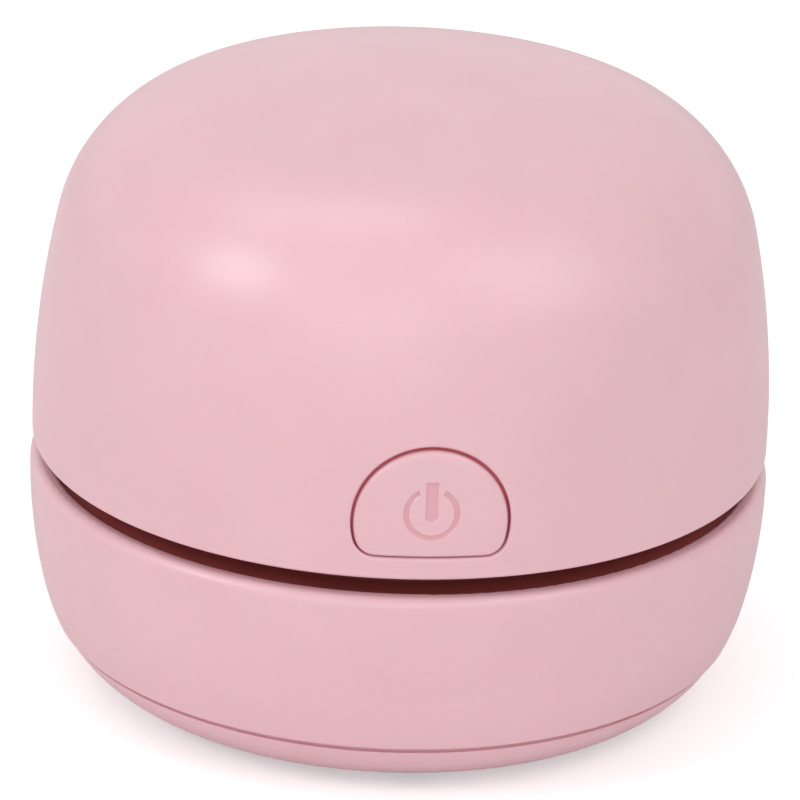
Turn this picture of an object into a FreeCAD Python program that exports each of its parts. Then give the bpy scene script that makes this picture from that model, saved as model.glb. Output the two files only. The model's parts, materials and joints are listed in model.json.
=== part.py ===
import FreeCAD, Part

import math
import os
from types import SimpleNamespace

import Sketcher

# Desktop mini vacuum cleaner, millimetres, +Z up, the origin on the table under the middle.
# The button looks along -Y, the charging port along +Y.

# Driving sizes: alias, value, meaning
SIZES = (
    ("body_radius", 42.0, "widest radius of the upper housing"),
    ("bin_radius", 42.2, "widest radius of the dust bin"),
    ("foot_clearance", 1.8, "height of the feet under the base"),
    ("base_edge_height", 4.9, "height of the base plate's sloping edge"),
    ("shell_height", 19.5, "height of the bin shell from its foot to its lip"),
    ("exhaust_gap", 2.25, "open gap between the lip and the housing"),
    ("housing_height", 43.15, "height of the upper housing"),
    ("housing_wall", 2.0, "wall of the upper housing"),
    ("housing_widest_rise", 2.15, "widest point above the housing's edge"),
    ("housing_side_arc", 110.0, "radius of the housing's side in profile"),
    ("housing_shoulder_arc", 18.7, "radius of the housing's shoulder in profile"),
    ("housing_crown_arc", 110.0, "radius of the housing's top in profile"),
    ("housing_edge_round", 0.5, "rounding of the housing's lower edge"),
    ("shell_wall", 2.2, "wall of the bin shell"),
    ("shell_widest_drop", 1.65, "widest point below the lip"),
    ("shell_side_arc", 59.0, "radius of the bin's side in profile"),
    ("shell_shoulder_arc", 24.5, "radius of the bin's lower curve in profile"),
    ("shell_shoulder_drop", 7.5, "centre of the lower curve below the widest point"),
    ("lip_round_outer", 1.1, "outer rounding of the bin's lip"),
    ("lip_round_inner", 0.6, "inner rounding of the bin's lip"),
    ("base_step", 0.5, "base plate's inset at its seam with the shell"),
    ("parting_rise", 0.35, "height of the parting groove in the shell, above the seam with the base"),
    ("parting_drop", 0.43, "height of the parting groove in the base, under that seam"),
    ("parting_depth", 0.45, "depth of the parting groove behind the base plate's edge"),
    ("base_bottom_radius", 34.4, "radius of the base plate's underside"),
    ("base_floor", 2.0, "thickness of the base plate"),
    ("base_rim_wall", 2.2, "wall of the base plate's rim at the seam"),
    ("base_spigot_height", 1.3, "base spigot that centres the shell"),
    ("foot_circle", 27.0, "radius of the circle of feet"),
    ("foot_radius", 3.0, "radius of a foot pad"),
    ("foot_pocket", 0.6, "depth that a foot pad sits in the base"),
    ("foot_round", 0.6, "rounding of a foot pad's lower edge"),
    ("through", 1.0, "how far a cutting tool runs past a face"),
    ("base_edge_arc", 11.0, "radius of the base plate's sloping edge in profile"),
    ("fit_gap", 0.05, "gap between pieces fixed to each other"),
    ("slide_gap", 0.3, "gap between pieces that move past each other"),
    ("ledge_drop", 0.55, "collar's top face below the lip"),
    ("ledge_thickness", 1.4, "thickness of the collar's top ring"),
    ("ledge_rib_width", 0.9, "width of the rib in the shell that carries the collar"),
    ("ledge_rib_height", 1.2, "height of that rib"),
    ("collar_inset", 2.6, "collar's outside from the shell's inside"),
    ("collar_wall", 1.4, "wall of the collar"),
    ("collar_depth", 10.05, "depth of the collar's bore"),
    ("seat_width", 3.2, "width of the ring that the head sits on"),
    ("seat_thickness", 1.0, "thickness of that ring"),
    ("post_inset", 4.8, "screw posts in the bin from the collar's bore"),
    ("post_radius", 2.7, "radius of a screw post"),
    ("screw_shank_radius", 1.1, "radius of a self-tapping screw's shank"),
    ("screw_head_radius", 2.2, "radius of its head"),
    ("screw_head_height", 1.3, "height of its head"),
    ("screw_length", 8.0, "length of its shank"),
    ("screw_sink", 0.5, "depth of a base screw's head under the base"),
    ("screw_cover", 1.6, "plate left over a screw's head recess"),
    ("mouth_half_length", 18.5, "half the length of the suction mouth's tube"),
    ("mouth_half_width", 5.5, "half the width of the suction mouth's tube"),
    ("duct_wall", 1.4, "wall of the inlet duct"),
    ("duct_height", 9.2, "inlet duct above the base's underside"),
    ("duct_window_height", 4.6, "height of the duct's side outlets"),
    ("duct_window_half_length", 13.0, "half the length of the side outlets"),
    ("duct_roof", 1.2, "thickness of the duct's roof"),
    ("duct_flange", 1.2, "width of the flange on the base's floor"),
    ("brush_offset", 11.8, "bristle rows from the middle of the mouth"),
    ("brush_half_length", 20.0, "half the length of a bristle strip"),
    ("brush_width", 4.2, "width of a bristle strip"),
    ("brush_bar", 1.6, "thickness of a bristle strip's bar"),
    ("brush_recess", 4.0, "depth of the groove that a strip sits in"),
    ("brush_cover", 1.5, "plate over that groove"),
    ("tuft_radius", 0.9, "radius of a bristle tuft"),
    ("tuft_spacing", 3.0, "distance between tufts"),
    ("tuft_floor_gap", 0.2, "tips of the bristles above the table"),
    ("tuft_root", 1.1, "length of a tuft held in its bar"),
    ("skirt_gap", 0.25, "gap between the head's skirt and the bin's bore"),
    ("skirt_wall", 2.0, "wall of the head's skirt"),
    ("skirt_height", 13.6, "height of the head's skirt"),
    ("filter_bay_height", 4.8, "height of the bay for the filter"),
    ("fan_plate", 1.6, "thickness of the plate between filter and fan"),
    ("fan_eye_radius", 9.5, "radius of the fan's inlet"),
    ("eye_bar", 1.4, "width of the bars across the inlet"),
    ("eye_hub_radius", 2.6, "radius of the bars' middle"),
    ("window_height", 2.0, "height of an exhaust window"),
    ("window_width", 6.4, "width of an exhaust window"),
    ("window_margin", 0.3, "wall over an exhaust window"),
    ("fan_post_inset", 5.25, "fan posts from the skirt's inside"),
    ("fan_post_radius", 3.4, "radius of a fan post"),
    ("fan_screw_recess", 3.0, "depth of the recess for a fan screw's head"),
    ("fan_screw_length", 8.5, "length of a fan screw's shank"),
    ("seal_section", 0.6, "radius of the sealing ring's section"),
    ("seal_rise", 3.6, "sealing ring above the skirt's foot"),
    ("seal_groove", 1.1, "depth of the sealing ring's groove"),
    ("filter_height", 4.0, "height of the filter frame"),
    ("filter_rim", 2.4, "width of the filter frame's rim"),
    ("filter_bar", 1.2, "thickness and width of the filter frame's bars"),
    ("filter_hub_radius", 5.0, "radius of the frame's middle"),
    ("filter_tab_length", 12.0, "length of the pull tab"),
    ("filter_tab_height", 1.7, "height of the pull tab"),
    ("pleat_pitch", 2.4, "distance between the filter's pleats"),
    ("pleat_sheet", 0.5, "thickness of the pleated sheet"),
    ("deck_thickness", 1.6, "thickness of the chassis deck"),
    ("deck_gap", 0.4, "gap between the deck and the housing"),
    ("pedestal_height", 3.2, "height of the motor's pedestal from the deck's underside"),
    ("pedestal_radius", 12.6, "radius of the motor's pedestal"),
    ("boss_inset", 2.75, "housing bosses from the skirt's inside"),
    ("boss_angle", 30.0, "housing bosses from the front and rear, degrees"),
    ("boss_radius", 2.8, "radius of a housing boss"),
    ("fan_boss_height", 2.5, "fan bosses above the deck"),
    ("motor_radius", 12.2, "radius of the motor's can"),
    ("motor_wall", 0.8, "wall of the motor's can"),
    ("motor_length", 24.0, "length of the motor's can"),
    ("motor_cap", 2.0, "thickness of the motor's end cap"),
    ("motor_boss_radius", 3.1, "radius of the motor's front boss"),
    ("motor_boss_height", 1.6, "height of the motor's front boss"),
    ("bush_radius", 2.2, "outer radius of a bearing bush"),
    ("bush_length", 2.4, "length of a bearing bush"),
    ("shaft_radius", 1.0, "radius of the motor's shaft"),
    ("shaft_gap", 0.03, "running gap of the shaft in its bushes"),
    ("motor_screw_circle", 8.0, "motor screws from the axis"),
    ("motor_screw_radius", 0.95, "radius of a motor screw"),
    ("motor_screw_head", 1.8, "radius of a motor screw's head"),
    ("motor_screw_length", 3.2, "length of a motor screw's shank"),
    ("magnet_wall", 2.2, "thickness of a magnet"),
    ("magnet_length", 17.0, "length of a magnet"),
    ("magnet_angle", 130.0, "angle that a magnet spans, degrees"),
    ("air_gap", 0.5, "gap between armature and magnets"),
    ("armature_length", 12.0, "length of the armature's core"),
    ("armature_rise", 5.5, "armature's core above the can's foot"),
    ("pole_width", 2.6, "width of an armature pole"),
    ("pole_shoe", 1.0, "thickness of a pole shoe"),
    ("pole_angle", 90.0, "angle that a pole shoe spans, degrees"),
    ("armature_hub", 3.0, "radius of the armature's hub"),
    ("coil_thickness", 1.5, "thickness of a winding beside its pole"),
    ("commutator_radius", 2.6, "radius of the commutator"),
    ("commutator_length", 3.2, "length of the commutator"),
    ("impeller_radius", 22.0, "radius of the impeller"),
    ("impeller_blade_height", 3.8, "height of its blades"),
    ("impeller_back", 1.2, "thickness of its back plate"),
    ("impeller_floor_gap", 0.8, "blades above the fan plate"),
    ("impeller_hub", 3.6, "radius of its hub"),
    ("blade_arc", 16.0, "radius of a blade's curve"),
    ("blade_thickness", 1.0, "thickness of a blade"),
    ("blade_inner", 9.0, "inner radius of the blades"),
    ("shaft_end", 0.6, "shaft above the motor's end cap"),
    ("carbon_depth", 2.4, "depth of a carbon brush"),
    ("carbon_width", 2.0, "width of a carbon brush"),
    ("carbon_height", 2.0, "height of a carbon brush"),
    ("arm_thickness", 0.5, "thickness of a brush's spring arm"),
    ("terminal_height", 2.6, "motor terminals above the end cap"),
    ("button_radius", 8.3, "radius of the button's round outline"),
    ("button_rise", 6.55, "button's centre above the housing's edge"),
    ("button_flat_drop", 3.7, "button's flat edge below its centre"),
    ("button_corner", 2.2, "rounding of the button's lower corners"),
    ("button_gap", 0.3, "gap round the button"),
    ("button_face", 1.8, "thickness of the button's face"),
    ("button_wall", 1.4, "wall of the button's skirt"),
    ("button_flange", 1.3, "width of the flange that keeps the button in"),
    ("button_flange_depth", 1.0, "thickness of that flange"),
    ("button_collar", 1.2, "wall of the collar round the button's hole"),
    ("button_collar_depth", 4.4, "collar's end behind the housing's front"),
    ("button_travel", 1.2, "how far the button goes in"),
    ("icon_rise", 1.15, "power sign above the button's centre"),
    ("icon_radius", 2.74, "radius of the sign's ring, at its stroke's middle"),
    ("icon_stroke", 0.52, "width of the ring's stroke"),
    ("icon_bar_width", 1.3, "width of the sign's bar"),
    ("icon_bar_top", 3.5, "bar's upper end above the ring's centre"),
    ("icon_bar_drop", 0.9, "bar's lower end below the ring's centre"),
    ("icon_opening", 33.0, "half the ring's opening, degrees"),
    ("icon_depth", 0.25, "depth of the sign"),
    ("switch_rise", 3.5, "switch's axis above the button's centre"),
    ("switch_side", 7.0, "side of the switch's square body"),
    ("switch_depth", 7.0, "depth of the switch's body"),
    ("switch_inset", 9.0, "switch's face behind the housing's front"),
    ("plunger_radius", 1.5, "radius of the switch's plunger"),
    ("plunger_stand", 2.2, "plunger in front of the switch's face"),
    ("plunger_length", 6.2, "length of the plunger"),
    ("bracket_wall", 1.6, "wall of the switch's bracket"),
    ("bracket_half_width", 5.0, "half the width of the switch's bracket"),
    ("switch_pin_x", 1.8, "switch terminals to each side"),
    ("switch_pin_width", 0.6, "width of a switch terminal"),
    ("switch_pin_height", 2.4, "height of a switch terminal"),
    ("stem_radius", 1.9, "radius of the button's stem"),
    ("seat_rim", 0.5, "spring seat past the spring's mean radius"),
    ("spring_seat_depth", 2.9, "spring's front end behind the housing's front"),
    ("spring_radius", 2.6, "mean radius of the button's spring"),
    ("spring_wire", 0.2, "radius of the spring's wire"),
    ("spring_pitch", 1.1, "pitch of the spring"),
    ("board_rise", 2.8, "control board above the deck"),
    ("board_thickness", 1.2, "thickness of the control board"),
    ("board_half_width", 12.0, "half the width of the control board"),
    ("board_front", 17.5, "board's front edge behind the axis"),
    ("board_inset", 4.0, "board's rear edge in front of the housing's inside"),
    ("board_post_radius", 2.3, "radius of a board post"),
    ("board_post_x", 9.0, "board posts to each side"),
    ("board_post_y", 20.5, "board posts behind the axis"),
    ("board_screw_radius", 0.85, "radius of a board screw's shank"),
    ("board_screw_head", 1.7, "radius of a board screw's head"),
    ("board_screw_height", 1.1, "height of a board screw's head"),
    ("board_screw_length", 3.6, "length of a board screw's shank"),
    ("chip_side", 4.6, "side of the charging chip"),
    ("chip_height", 1.2, "height of the chips"),
    ("inductor_side", 5.0, "side of the inductor"),
    ("inductor_height", 2.8, "height of the inductor"),
    ("port_half_width", 4.47, "half the width of the charging socket"),
    ("port_height", 3.26, "height of the charging socket"),
    ("port_depth", 7.35, "depth of the charging socket"),
    ("port_recess", 1.1, "socket's mouth behind the housing's outside"),
    ("port_wall", 0.3, "wall of the socket's shell"),
    ("port_gap", 0.28, "gap round the socket in the housing"),
    ("tongue_half_width", 3.35, "half the width of the socket's tongue"),
    ("tongue_thickness", 0.7, "thickness of the socket's tongue"),
    ("lamp_x", 8.2, "status lamp beside the socket"),
    ("lamp_radius", 0.95, "radius of the light pipe"),
    ("lamp_flange", 1.5, "radius of the light pipe's flange"),
    ("cell_radius", 8.25, "radius of the battery cell"),
    ("cell_length", 34.5, "length of the battery cell"),
    ("cell_gap", 2.0, "gap between the cell and the motor"),
    ("cell_rise", 2.8, "cell above the deck"),
    ("saddle_half_span", 6.0, "half the span of a saddle across the cell"),
    ("saddle_width", 3.0, "width of a saddle under the cell"),
    ("strap_width", 5.0, "width of the battery strap"),
    ("strap_thickness", 0.9, "thickness of the battery strap"),
    ("strap_inset", 2.75, "strap from the cell's rear end"),
    ("strap_foot", 4.0, "length of the strap's foot"),
    ("stake_radius", 1.0, "radius of the stakes that hold the strap"),
    ("stake_stand", 0.5, "stakes above the strap's foot"),
    ("cell_cap_radius", 3.0, "radius of the cell's positive cap"),
    ("cell_cap_height", 0.8, "height of the cell's positive cap"),
    ("tab_half_width", 2.5, "half the width of a battery tab"),
    ("tab_reach", 6.0, "reach of a battery tab from the cell's axis"),
    ("tab_thickness", 0.2, "thickness of a battery tab"),
    ("lamp_inset", 4.6, "status lamp in front of the housing's inside"),
    ("lead_rise", 2.4, "battery and switch leads from what they pass"),
    ("lead_row_y", 21.8, "row of the leads at the board's front edge"),
    ("lead_outer_x", 5.0, "outer leads of that row to each side"),
    ("lead_inner_x", 2.0, "inner leads of that row to each side"),
    ("lead_side_x", 20.2, "switch leads beside the motor"),
    ("motor_lead_y", 19.2, "motor leads behind the axis"),
    ("wire_radius", 0.6, "radius of an insulated lead"),
)
BASE_SCREWS = 4
FAN_SCREWS = 3
BLADE_SWEEP = 40
FEET = 4
WINDOWS = 24
BLADES = 9
POLES = 3
TUFTS_PER_STRIP = 13
FEET_START = 45
FAN_SCREWS_START = -90
FINE_DIGITS = 12
RECESS_WIDTH_SHARE = 0.22
RECESS_LENGTH_SHARE = 1.2
RECESS_DEPTH_SHARE = 0.5
ALONG_Y = FreeCAD.Rotation(FreeCAD.Vector(1, 0, 0), -90)

doc = FreeCAD.newDocument("desktop_vacuum")
sheet = doc.addObject("Spreadsheet::Sheet", "Sizes")
for row, (alias, number, meaning) in enumerate(SIZES, start=1):
    sheet.set(f"A{row}", meaning)
    sheet.set(f"B{row}", str(number))
    sheet.setAlias(f"B{row}", alias)
doc.recompute()


class Size:
    """A size with its value now and the sheet expression that gives it."""

    def __init__(self, value, text):
        self.value = float(value)
        self.text = text

    def __add__(self, other):
        other = as_size(other)
        return Size(self.value + other.value, f"({self.text} + {other.text})")

    def __sub__(self, other):
        other = as_size(other)
        return Size(self.value - other.value, f"({self.text} - {other.text})")

    def __mul__(self, other):
        other = as_size(other)
        return Size(self.value * other.value, f"({self.text} * {other.text})")

    def __truediv__(self, other):
        other = as_size(other)
        return Size(self.value / other.value, f"({self.text} / {other.text})")

    def __neg__(self):
        return Size(-self.value, f"(-{self.text})")

    __radd__ = __add__


def as_size(number):
    return number if isinstance(number, Size) else Size(number, f"{number:.10g}")


def root(size):
    return Size(math.sqrt(size.value), f"sqrt({size.text})")


def cosine(angle):
    return Size(math.cos(math.radians(angle.value)), f"cos({angle.text} * 1 deg)")


def sine(angle):
    return Size(math.sin(math.radians(angle.value)), f"sin({angle.text} * 1 deg)")


def beside(long_side, short_side):
    """The other short side of a right triangle."""
    return root(long_side * long_side - short_side * short_side)


s = SimpleNamespace(**{alias: Size(number, f"Sizes.{alias}") for alias, number, _ in SIZES})
ZERO = as_size(0)

places = doc.addObject("App::VarSet", "Places")


def keep(name, size):
    """Works a height or radius out once, under a name that other expressions can use."""
    places.addProperty("App::PropertyFloat", name)
    places.setExpression(name, size.text)
    return Size(size.value, f"Places.{name}")


# Heights from the table up
shell_foot = keep("shell_foot", s.foot_clearance + s.base_edge_height)
lip_top = keep("lip_top", shell_foot + s.shell_height)
housing_foot = keep("housing_foot", lip_top + s.exhaust_gap)
housing_top = keep("housing_top", housing_foot + s.housing_height)
floor_top = keep("floor_top", s.foot_clearance + s.base_floor)
ledge_top = keep("ledge_top", lip_top - s.ledge_drop)
ledge_under = keep("ledge_under", ledge_top - s.ledge_thickness)
seat_top = keep("seat_top", ledge_top - s.collar_depth)
seat_under = keep("seat_under", seat_top - s.seat_thickness)
fan_plate_under = keep("fan_plate_under", seat_top + s.filter_bay_height)
fan_plate_top = keep("fan_plate_top", fan_plate_under + s.fan_plate)
deck_under = keep("deck_under", seat_top + s.skirt_height)
deck_top = keep("deck_top", deck_under + s.deck_thickness)
motor_seat = keep("motor_seat", deck_under + s.pedestal_height)
motor_top = keep("motor_top", motor_seat + s.motor_length)
shell_widest = keep("shell_widest", lip_top - s.shell_widest_drop)
housing_widest = keep("housing_widest", housing_foot + s.housing_widest_rise)
base_screw_seat = keep("base_screw_seat", s.foot_clearance + s.screw_sink + s.screw_head_height)
base_boss_top = keep("base_boss_top", base_screw_seat + s.screw_cover)
fan_screw_seat = keep("fan_screw_seat", fan_plate_under + s.fan_screw_recess)
blade_foot = keep("blade_foot", fan_plate_top + s.impeller_floor_gap)
blade_top = keep("blade_top", blade_foot + s.impeller_blade_height)
core_foot = keep("core_foot", motor_seat + s.armature_rise)
core_top = keep("core_top", core_foot + s.armature_length)
commutator_foot = keep("commutator_foot", core_top + s.coil_thickness + s.slide_gap)
button_z = keep("button_z", housing_foot + s.button_rise)
switch_z = keep("switch_z", button_z + s.switch_rise)
board_under = keep("board_under", deck_top + s.board_rise)
board_top = keep("board_top", board_under + s.board_thickness)
port_z = keep("port_z", board_top + s.port_height / 2)
cell_z = keep("cell_z", deck_top + s.cell_rise + s.cell_radius)
filter_foot = keep("filter_foot", fan_plate_under - s.slide_gap - s.filter_height)

# Radii from the outside in
shell_inside = keep("shell_inside", s.bin_radius - s.shell_wall)
collar_outside = keep("collar_outside", shell_inside - s.collar_inset)
collar_bore = keep("collar_bore", collar_outside - s.collar_wall)
seat_inside = keep("seat_inside", collar_bore - s.seat_width)
skirt_outside = keep("skirt_outside", collar_bore - s.skirt_gap)
skirt_inside = keep("skirt_inside", skirt_outside - s.skirt_wall)
filter_outside = keep("filter_outside", skirt_inside - s.slide_gap)
housing_inside = keep("housing_inside", s.body_radius - s.housing_wall)
deck_radius = keep("deck_radius", housing_inside - s.deck_gap)
fan_post_circle = keep("fan_post_circle", skirt_inside - s.fan_post_inset)
boss_circle = keep("boss_circle", skirt_inside - s.boss_inset)
base_post_circle = keep("base_post_circle", collar_bore - s.post_inset)

# Places along Y, from the front to the back
collar_end = keep("collar_end", s.button_collar_depth - s.body_radius)
flange_back = keep("flange_back", collar_end + s.fit_gap + s.button_flange_depth)
switch_front = keep("switch_front", s.body_radius - s.switch_inset)
plunger_tip = keep("plunger_tip", -switch_front - s.plunger_stand)
switch_back = keep("switch_back", s.switch_depth - switch_front)
strap_front = keep("strap_front", s.cell_length / 2 - s.strap_inset - s.strap_width)
port_mouth = keep("port_mouth", s.body_radius - s.port_recess)
board_rear = keep("board_rear", housing_inside - s.board_inset)
lamp_rear = keep("lamp_rear", housing_inside - s.lamp_inset)

# The cell lies beside the motor, along Y
cell_x = keep("cell_x", -(s.motor_radius + s.cell_gap + s.cell_radius))

# The shell's lower curve: its centre and where it ends at the seam
shell_side_x = keep("shell_side_x", s.bin_radius - s.shell_side_arc)
shoulder_z = keep("shoulder_z", shell_widest - s.shell_shoulder_drop)
shoulder_x = keep(
    "shoulder_x",
    shell_side_x + beside(s.shell_side_arc - s.shell_shoulder_arc, s.shell_shoulder_drop),
)
shell_foot_radius = keep(
    "shell_foot_radius", shoulder_x + beside(s.shell_shoulder_arc, shell_foot - shoulder_z)
)
shell_foot_inside = keep(
    "shell_foot_inside",
    shoulder_x + beside(s.shell_shoulder_arc - s.shell_wall, shell_foot - shoulder_z),
)
spigot_radius = keep("spigot_radius", shell_foot_inside - s.fit_gap)
base_top_radius = keep("base_top_radius", shell_foot_radius - s.base_step)
parting_top = keep("parting_top", shell_foot + s.parting_rise)
parting_foot = keep("parting_foot", shell_foot - s.parting_drop)
parting_inside = keep("parting_inside", base_top_radius - s.parting_depth)
parting_outside = keep(
    "parting_outside", shoulder_x + beside(s.shell_shoulder_arc, parting_top - shoulder_z)
)

# The housing's profile: the centre of its shoulder, tangent to its side and to its crown
dome_side_x = keep("dome_side_x", s.body_radius - s.housing_side_arc)
crown_z = keep("crown_z", housing_top - s.housing_crown_arc)
side_reach = keep("side_reach", s.housing_side_arc - s.housing_shoulder_arc)
crown_reach = keep("crown_reach", s.housing_crown_arc - s.housing_shoulder_arc)
centres_drop = keep("centres_drop", housing_widest - crown_z)
centres_apart = keep("centres_apart", root(dome_side_x * dome_side_x + centres_drop * centres_drop))
along = keep(
    "along",
    (side_reach * side_reach - crown_reach * crown_reach + centres_apart * centres_apart)
    / (centres_apart * 2),
)
across = keep("across", beside(side_reach, along))
crest_x = keep("crest_x", dome_side_x + (centres_drop * across - dome_side_x * along) / centres_apart)
crest_z = keep(
    "crest_z", housing_widest - (centres_drop * along + dome_side_x * across) / centres_apart
)
side_turn_x = keep("side_turn_x", (crest_x - dome_side_x) / side_reach)
side_turn_z = keep("side_turn_z", (crest_z - housing_widest) / side_reach)
crown_turn_x = keep("crown_turn_x", crest_x / crown_reach)
crown_turn_z = keep("crown_turn_z", (crest_z - crown_z) / crown_reach)

nodes = {}


def node(label, thing):
    """Names a finished sub-part, which is then written to its own file."""
    thing.Label = label
    nodes[label] = thing
    return thing


def bind(thing, name, size):
    if isinstance(size, Size):
        thing.setExpression(name, size.text)
    else:
        setattr(thing, name, size)


def place(thing, at, turn=None):
    if turn is not None:
        thing.Placement = FreeCAD.Placement(FreeCAD.Vector(), turn)
    for letter, size in zip("xyz", at):
        thing.setExpression(f"Placement.Base.{letter}", as_size(size).text)
    return thing


def cylinder(name, radius, height, at=(0, 0, 0), turn=None, angle=None):
    made = doc.addObject("Part::Cylinder", name)
    bind(made, "Radius", as_size(radius))
    bind(made, "Height", as_size(height))
    if angle is not None:
        bind(made, "Angle", angle)
    return place(made, at, turn)


def box(name, low, high):
    """A box between two opposite corners."""
    made = doc.addObject("Part::Box", name)
    for side, low_end, high_end in zip(("Length", "Width", "Height"), low, high):
        bind(made, side, as_size(high_end) - as_size(low_end))
    return place(made, low)


def fuse(name, *things):
    made = doc.addObject("Part::MultiFuse", name)
    made.Shapes = list(things)
    made.Refine = True
    return made


def cut(name, base, *tools):
    made = doc.addObject("Part::Cut", name)
    made.Base = base
    made.Tool = tools[0] if len(tools) == 1 else fuse(name + "_tools", *tools)
    made.Refine = True
    return made


def common(name, first, second):
    made = doc.addObject("Part::Common", name)
    made.Base = first
    made.Tool = second
    made.Refine = True
    return made


def group(name, things):
    """Several separate solids in one sub-part."""
    made = doc.addObject("Part::Compound", name)
    made.Links = list(things)
    return made


def around(circle, count, start=0.0):
    """Places on a circle about the axis, evenly spaced from an angle in degrees."""
    for number in range(count):
        angle = math.radians(start + 360.0 * number / count)
        x_share, y_share = round(math.cos(angle), FINE_DIGITS), round(math.sin(angle), FINE_DIGITS)
        yield number, circle * x_share, circle * y_share


def new_sketch(body, name, plane="XZ_Plane"):
    made = body.newObject("Sketcher::SketchObject", name)
    planes = [feature for feature in body.Origin.OriginFeatures if feature.Role == plane]
    made.AttachmentSupport = (planes[0], [""])
    made.MapMode = "FlatFace"
    return made


def limit(sketch, kind, *terms):
    """Adds a dimension whose last term is a size, and binds it to the sheet."""
    *where, size = terms
    index = sketch.addConstraint(Sketcher.Constraint(kind, *where, size.value))
    sketch.setExpression(f"Constraints[{index}]", size.text)


def pin(sketch, curve, end, x=None, y=None):
    """Holds a point of a sketch at its distances from the sketch's origin."""
    for kind, size, axis in (("DistanceX", x, -2), ("DistanceY", y, -1)):
        if size is None:
            continue
        size = as_size(size)
        if size.value == 0:
            sketch.addConstraint(Sketcher.Constraint("PointOnObject", curve, end, axis))
        elif size.value > 0:
            limit(sketch, kind, -1, 1, curve, end, size)
        else:
            limit(sketch, kind, curve, end, -1, 1, -size)


def flat(x, y):
    return FreeCAD.Vector(as_size(x).value, as_size(y).value, 0)


def bend(start, end, radius):
    """An arc from start to end, its centre on the left for a positive radius, and if it runs backwards."""
    across = end - start
    middle = (start + end) * 0.5
    left = FreeCAD.Vector(-across.y, across.x, 0).normalize()
    reach = math.sqrt(max(radius * radius - across.Length * across.Length / 4, 0))
    centre = middle + left * (reach if radius > 0 else -reach)
    first, last = (start, end) if radius > 0 else (end, start)
    from_angle = math.atan2(first.y - centre.y, first.x - centre.x)
    to_angle = math.atan2(last.y - centre.y, last.x - centre.x)
    circle = Part.Circle(centre, FreeCAD.Vector(0, 0, 1), abs(radius))
    return Part.ArcOfCircle(circle, from_angle, to_angle), radius < 0


def outline(sketch, corners):
    """A closed outline through corners (x, y) or (x, y, r): r is the radius of the arc that arrives there."""
    count = len(corners)
    ends = []
    for number, corner in enumerate(corners):
        before = corners[number - 1]
        start, end = flat(*before[:2]), flat(*corner[:2])
        if len(corner) == 3:
            arc, backwards = bend(start, end, as_size(corner[2]).value)
            curve = sketch.addGeometry(arc, False)
            bent = corner[2] if corner[2].value > 0 else -corner[2]
            limit(sketch, "Radius", curve, bent)
            ends.append((curve, 2, 1) if backwards else (curve, 1, 2))
        else:
            ends.append((sketch.addGeometry(Part.LineSegment(start, end), False), 1, 2))
    for number, (curve, _, end) in enumerate(ends):
        after, start, _ = ends[(number + 1) % count]
        sketch.addConstraint(Sketcher.Constraint("Coincident", curve, end, after, start))
        pin(sketch, curve, end, *corners[number][:2])


def turned(name, corners):
    """A body turned about the Z axis from an outline of (radius, height) corners."""
    body = doc.addObject("PartDesign::Body", name)
    sketch = new_sketch(body, name + "_profile")
    outline(sketch, corners)
    feature = body.newObject("PartDesign::Revolution", name + "_turned")
    feature.Profile = sketch
    feature.ReferenceAxis = (sketch, ["V_Axis"])
    feature.Angle = 360
    return body


def ring(name, inner, outer, low, high):
    return turned(name, [(inner, low), (outer, low), (outer, high), (inner, high)])


def stadium(name, half_length, half_width, low, high):
    """An upright slot shape, long in X."""
    run = half_length - half_width
    middle = box(name + "_middle", (-run, -half_width, low), (run, half_width, high))
    ends = [
        cylinder(name + side, half_width, high - low, (shift, 0, low))
        for side, shift in (("_left", -run), ("_right", run))
    ]
    return fuse(name, middle, *ends)


def lying_stadium(name, half_length, half_width, z, front, rear):
    """A slot shape that lies along Y, long in X, round the height z."""
    run = half_length - half_width
    middle = box(name + "_middle", (-run, front, z - half_width), (run, rear, z + half_width))
    ends = [
        cylinder(name + side, half_width, as_size(rear) - as_size(front), (shift, front, z), ALONG_Y)
        for side, shift in (("_left", -run), ("_right", run))
    ]
    return fuse(name, middle, *ends)


def screw(name, x, y, under_head, head_radius, head_height, shank_radius, length):
    """A pan-head screw that points up, with a cross recess, its head's upper face at under_head."""
    head = cylinder(name + "_head", head_radius, head_height, (x, y, under_head - head_height))
    shank = cylinder(name + "_shank", shank_radius, length, (x, y, under_head))
    slot_width = head_radius * RECESS_WIDTH_SHARE
    slot_length = head_radius * RECESS_LENGTH_SHARE
    slot_depth = head_height * RECESS_DEPTH_SHARE
    foot = under_head - head_height
    slots = [
        box(f"{name}_slot_{way}", (x - half_x, y - half_y, foot), (x + half_x, y + half_y, foot + slot_depth))
        for way, half_x, half_y in (
            ("x", slot_length / 2, slot_width / 2),
            ("y", slot_width / 2, slot_length / 2),
        )
    ]
    return cut(name, fuse(name + "_blank", head, shank), *slots)


def d_prism(name, radius, flat_drop, corner, centre_z, front, rear):
    """The button's outline, a circle with a flat lower edge and round corners, padded along Y."""
    corner_x = beside(radius - corner, flat_drop - corner)
    share = radius / (radius - corner)
    touch_x = corner_x * share
    touch_z = centre_z - (flat_drop - corner) * share
    bottom = centre_z - flat_drop
    body = doc.addObject("PartDesign::Body", name)
    sketch = new_sketch(body, name + "_profile")
    sketch.setExpression("AttachmentOffset.Base.z", (-as_size(rear)).text)
    outline(
        sketch,
        [
            (corner_x, bottom),
            (touch_x, touch_z, corner),
            (ZERO, centre_z + radius, radius),
            (-touch_x, touch_z, radius),
            (-corner_x, bottom, corner),
        ],
    )
    feature = body.newObject("PartDesign::Pad", name + "_pad")
    feature.Profile = sketch
    bind(feature, "Length", as_size(rear) - as_size(front))
    return body


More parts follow.
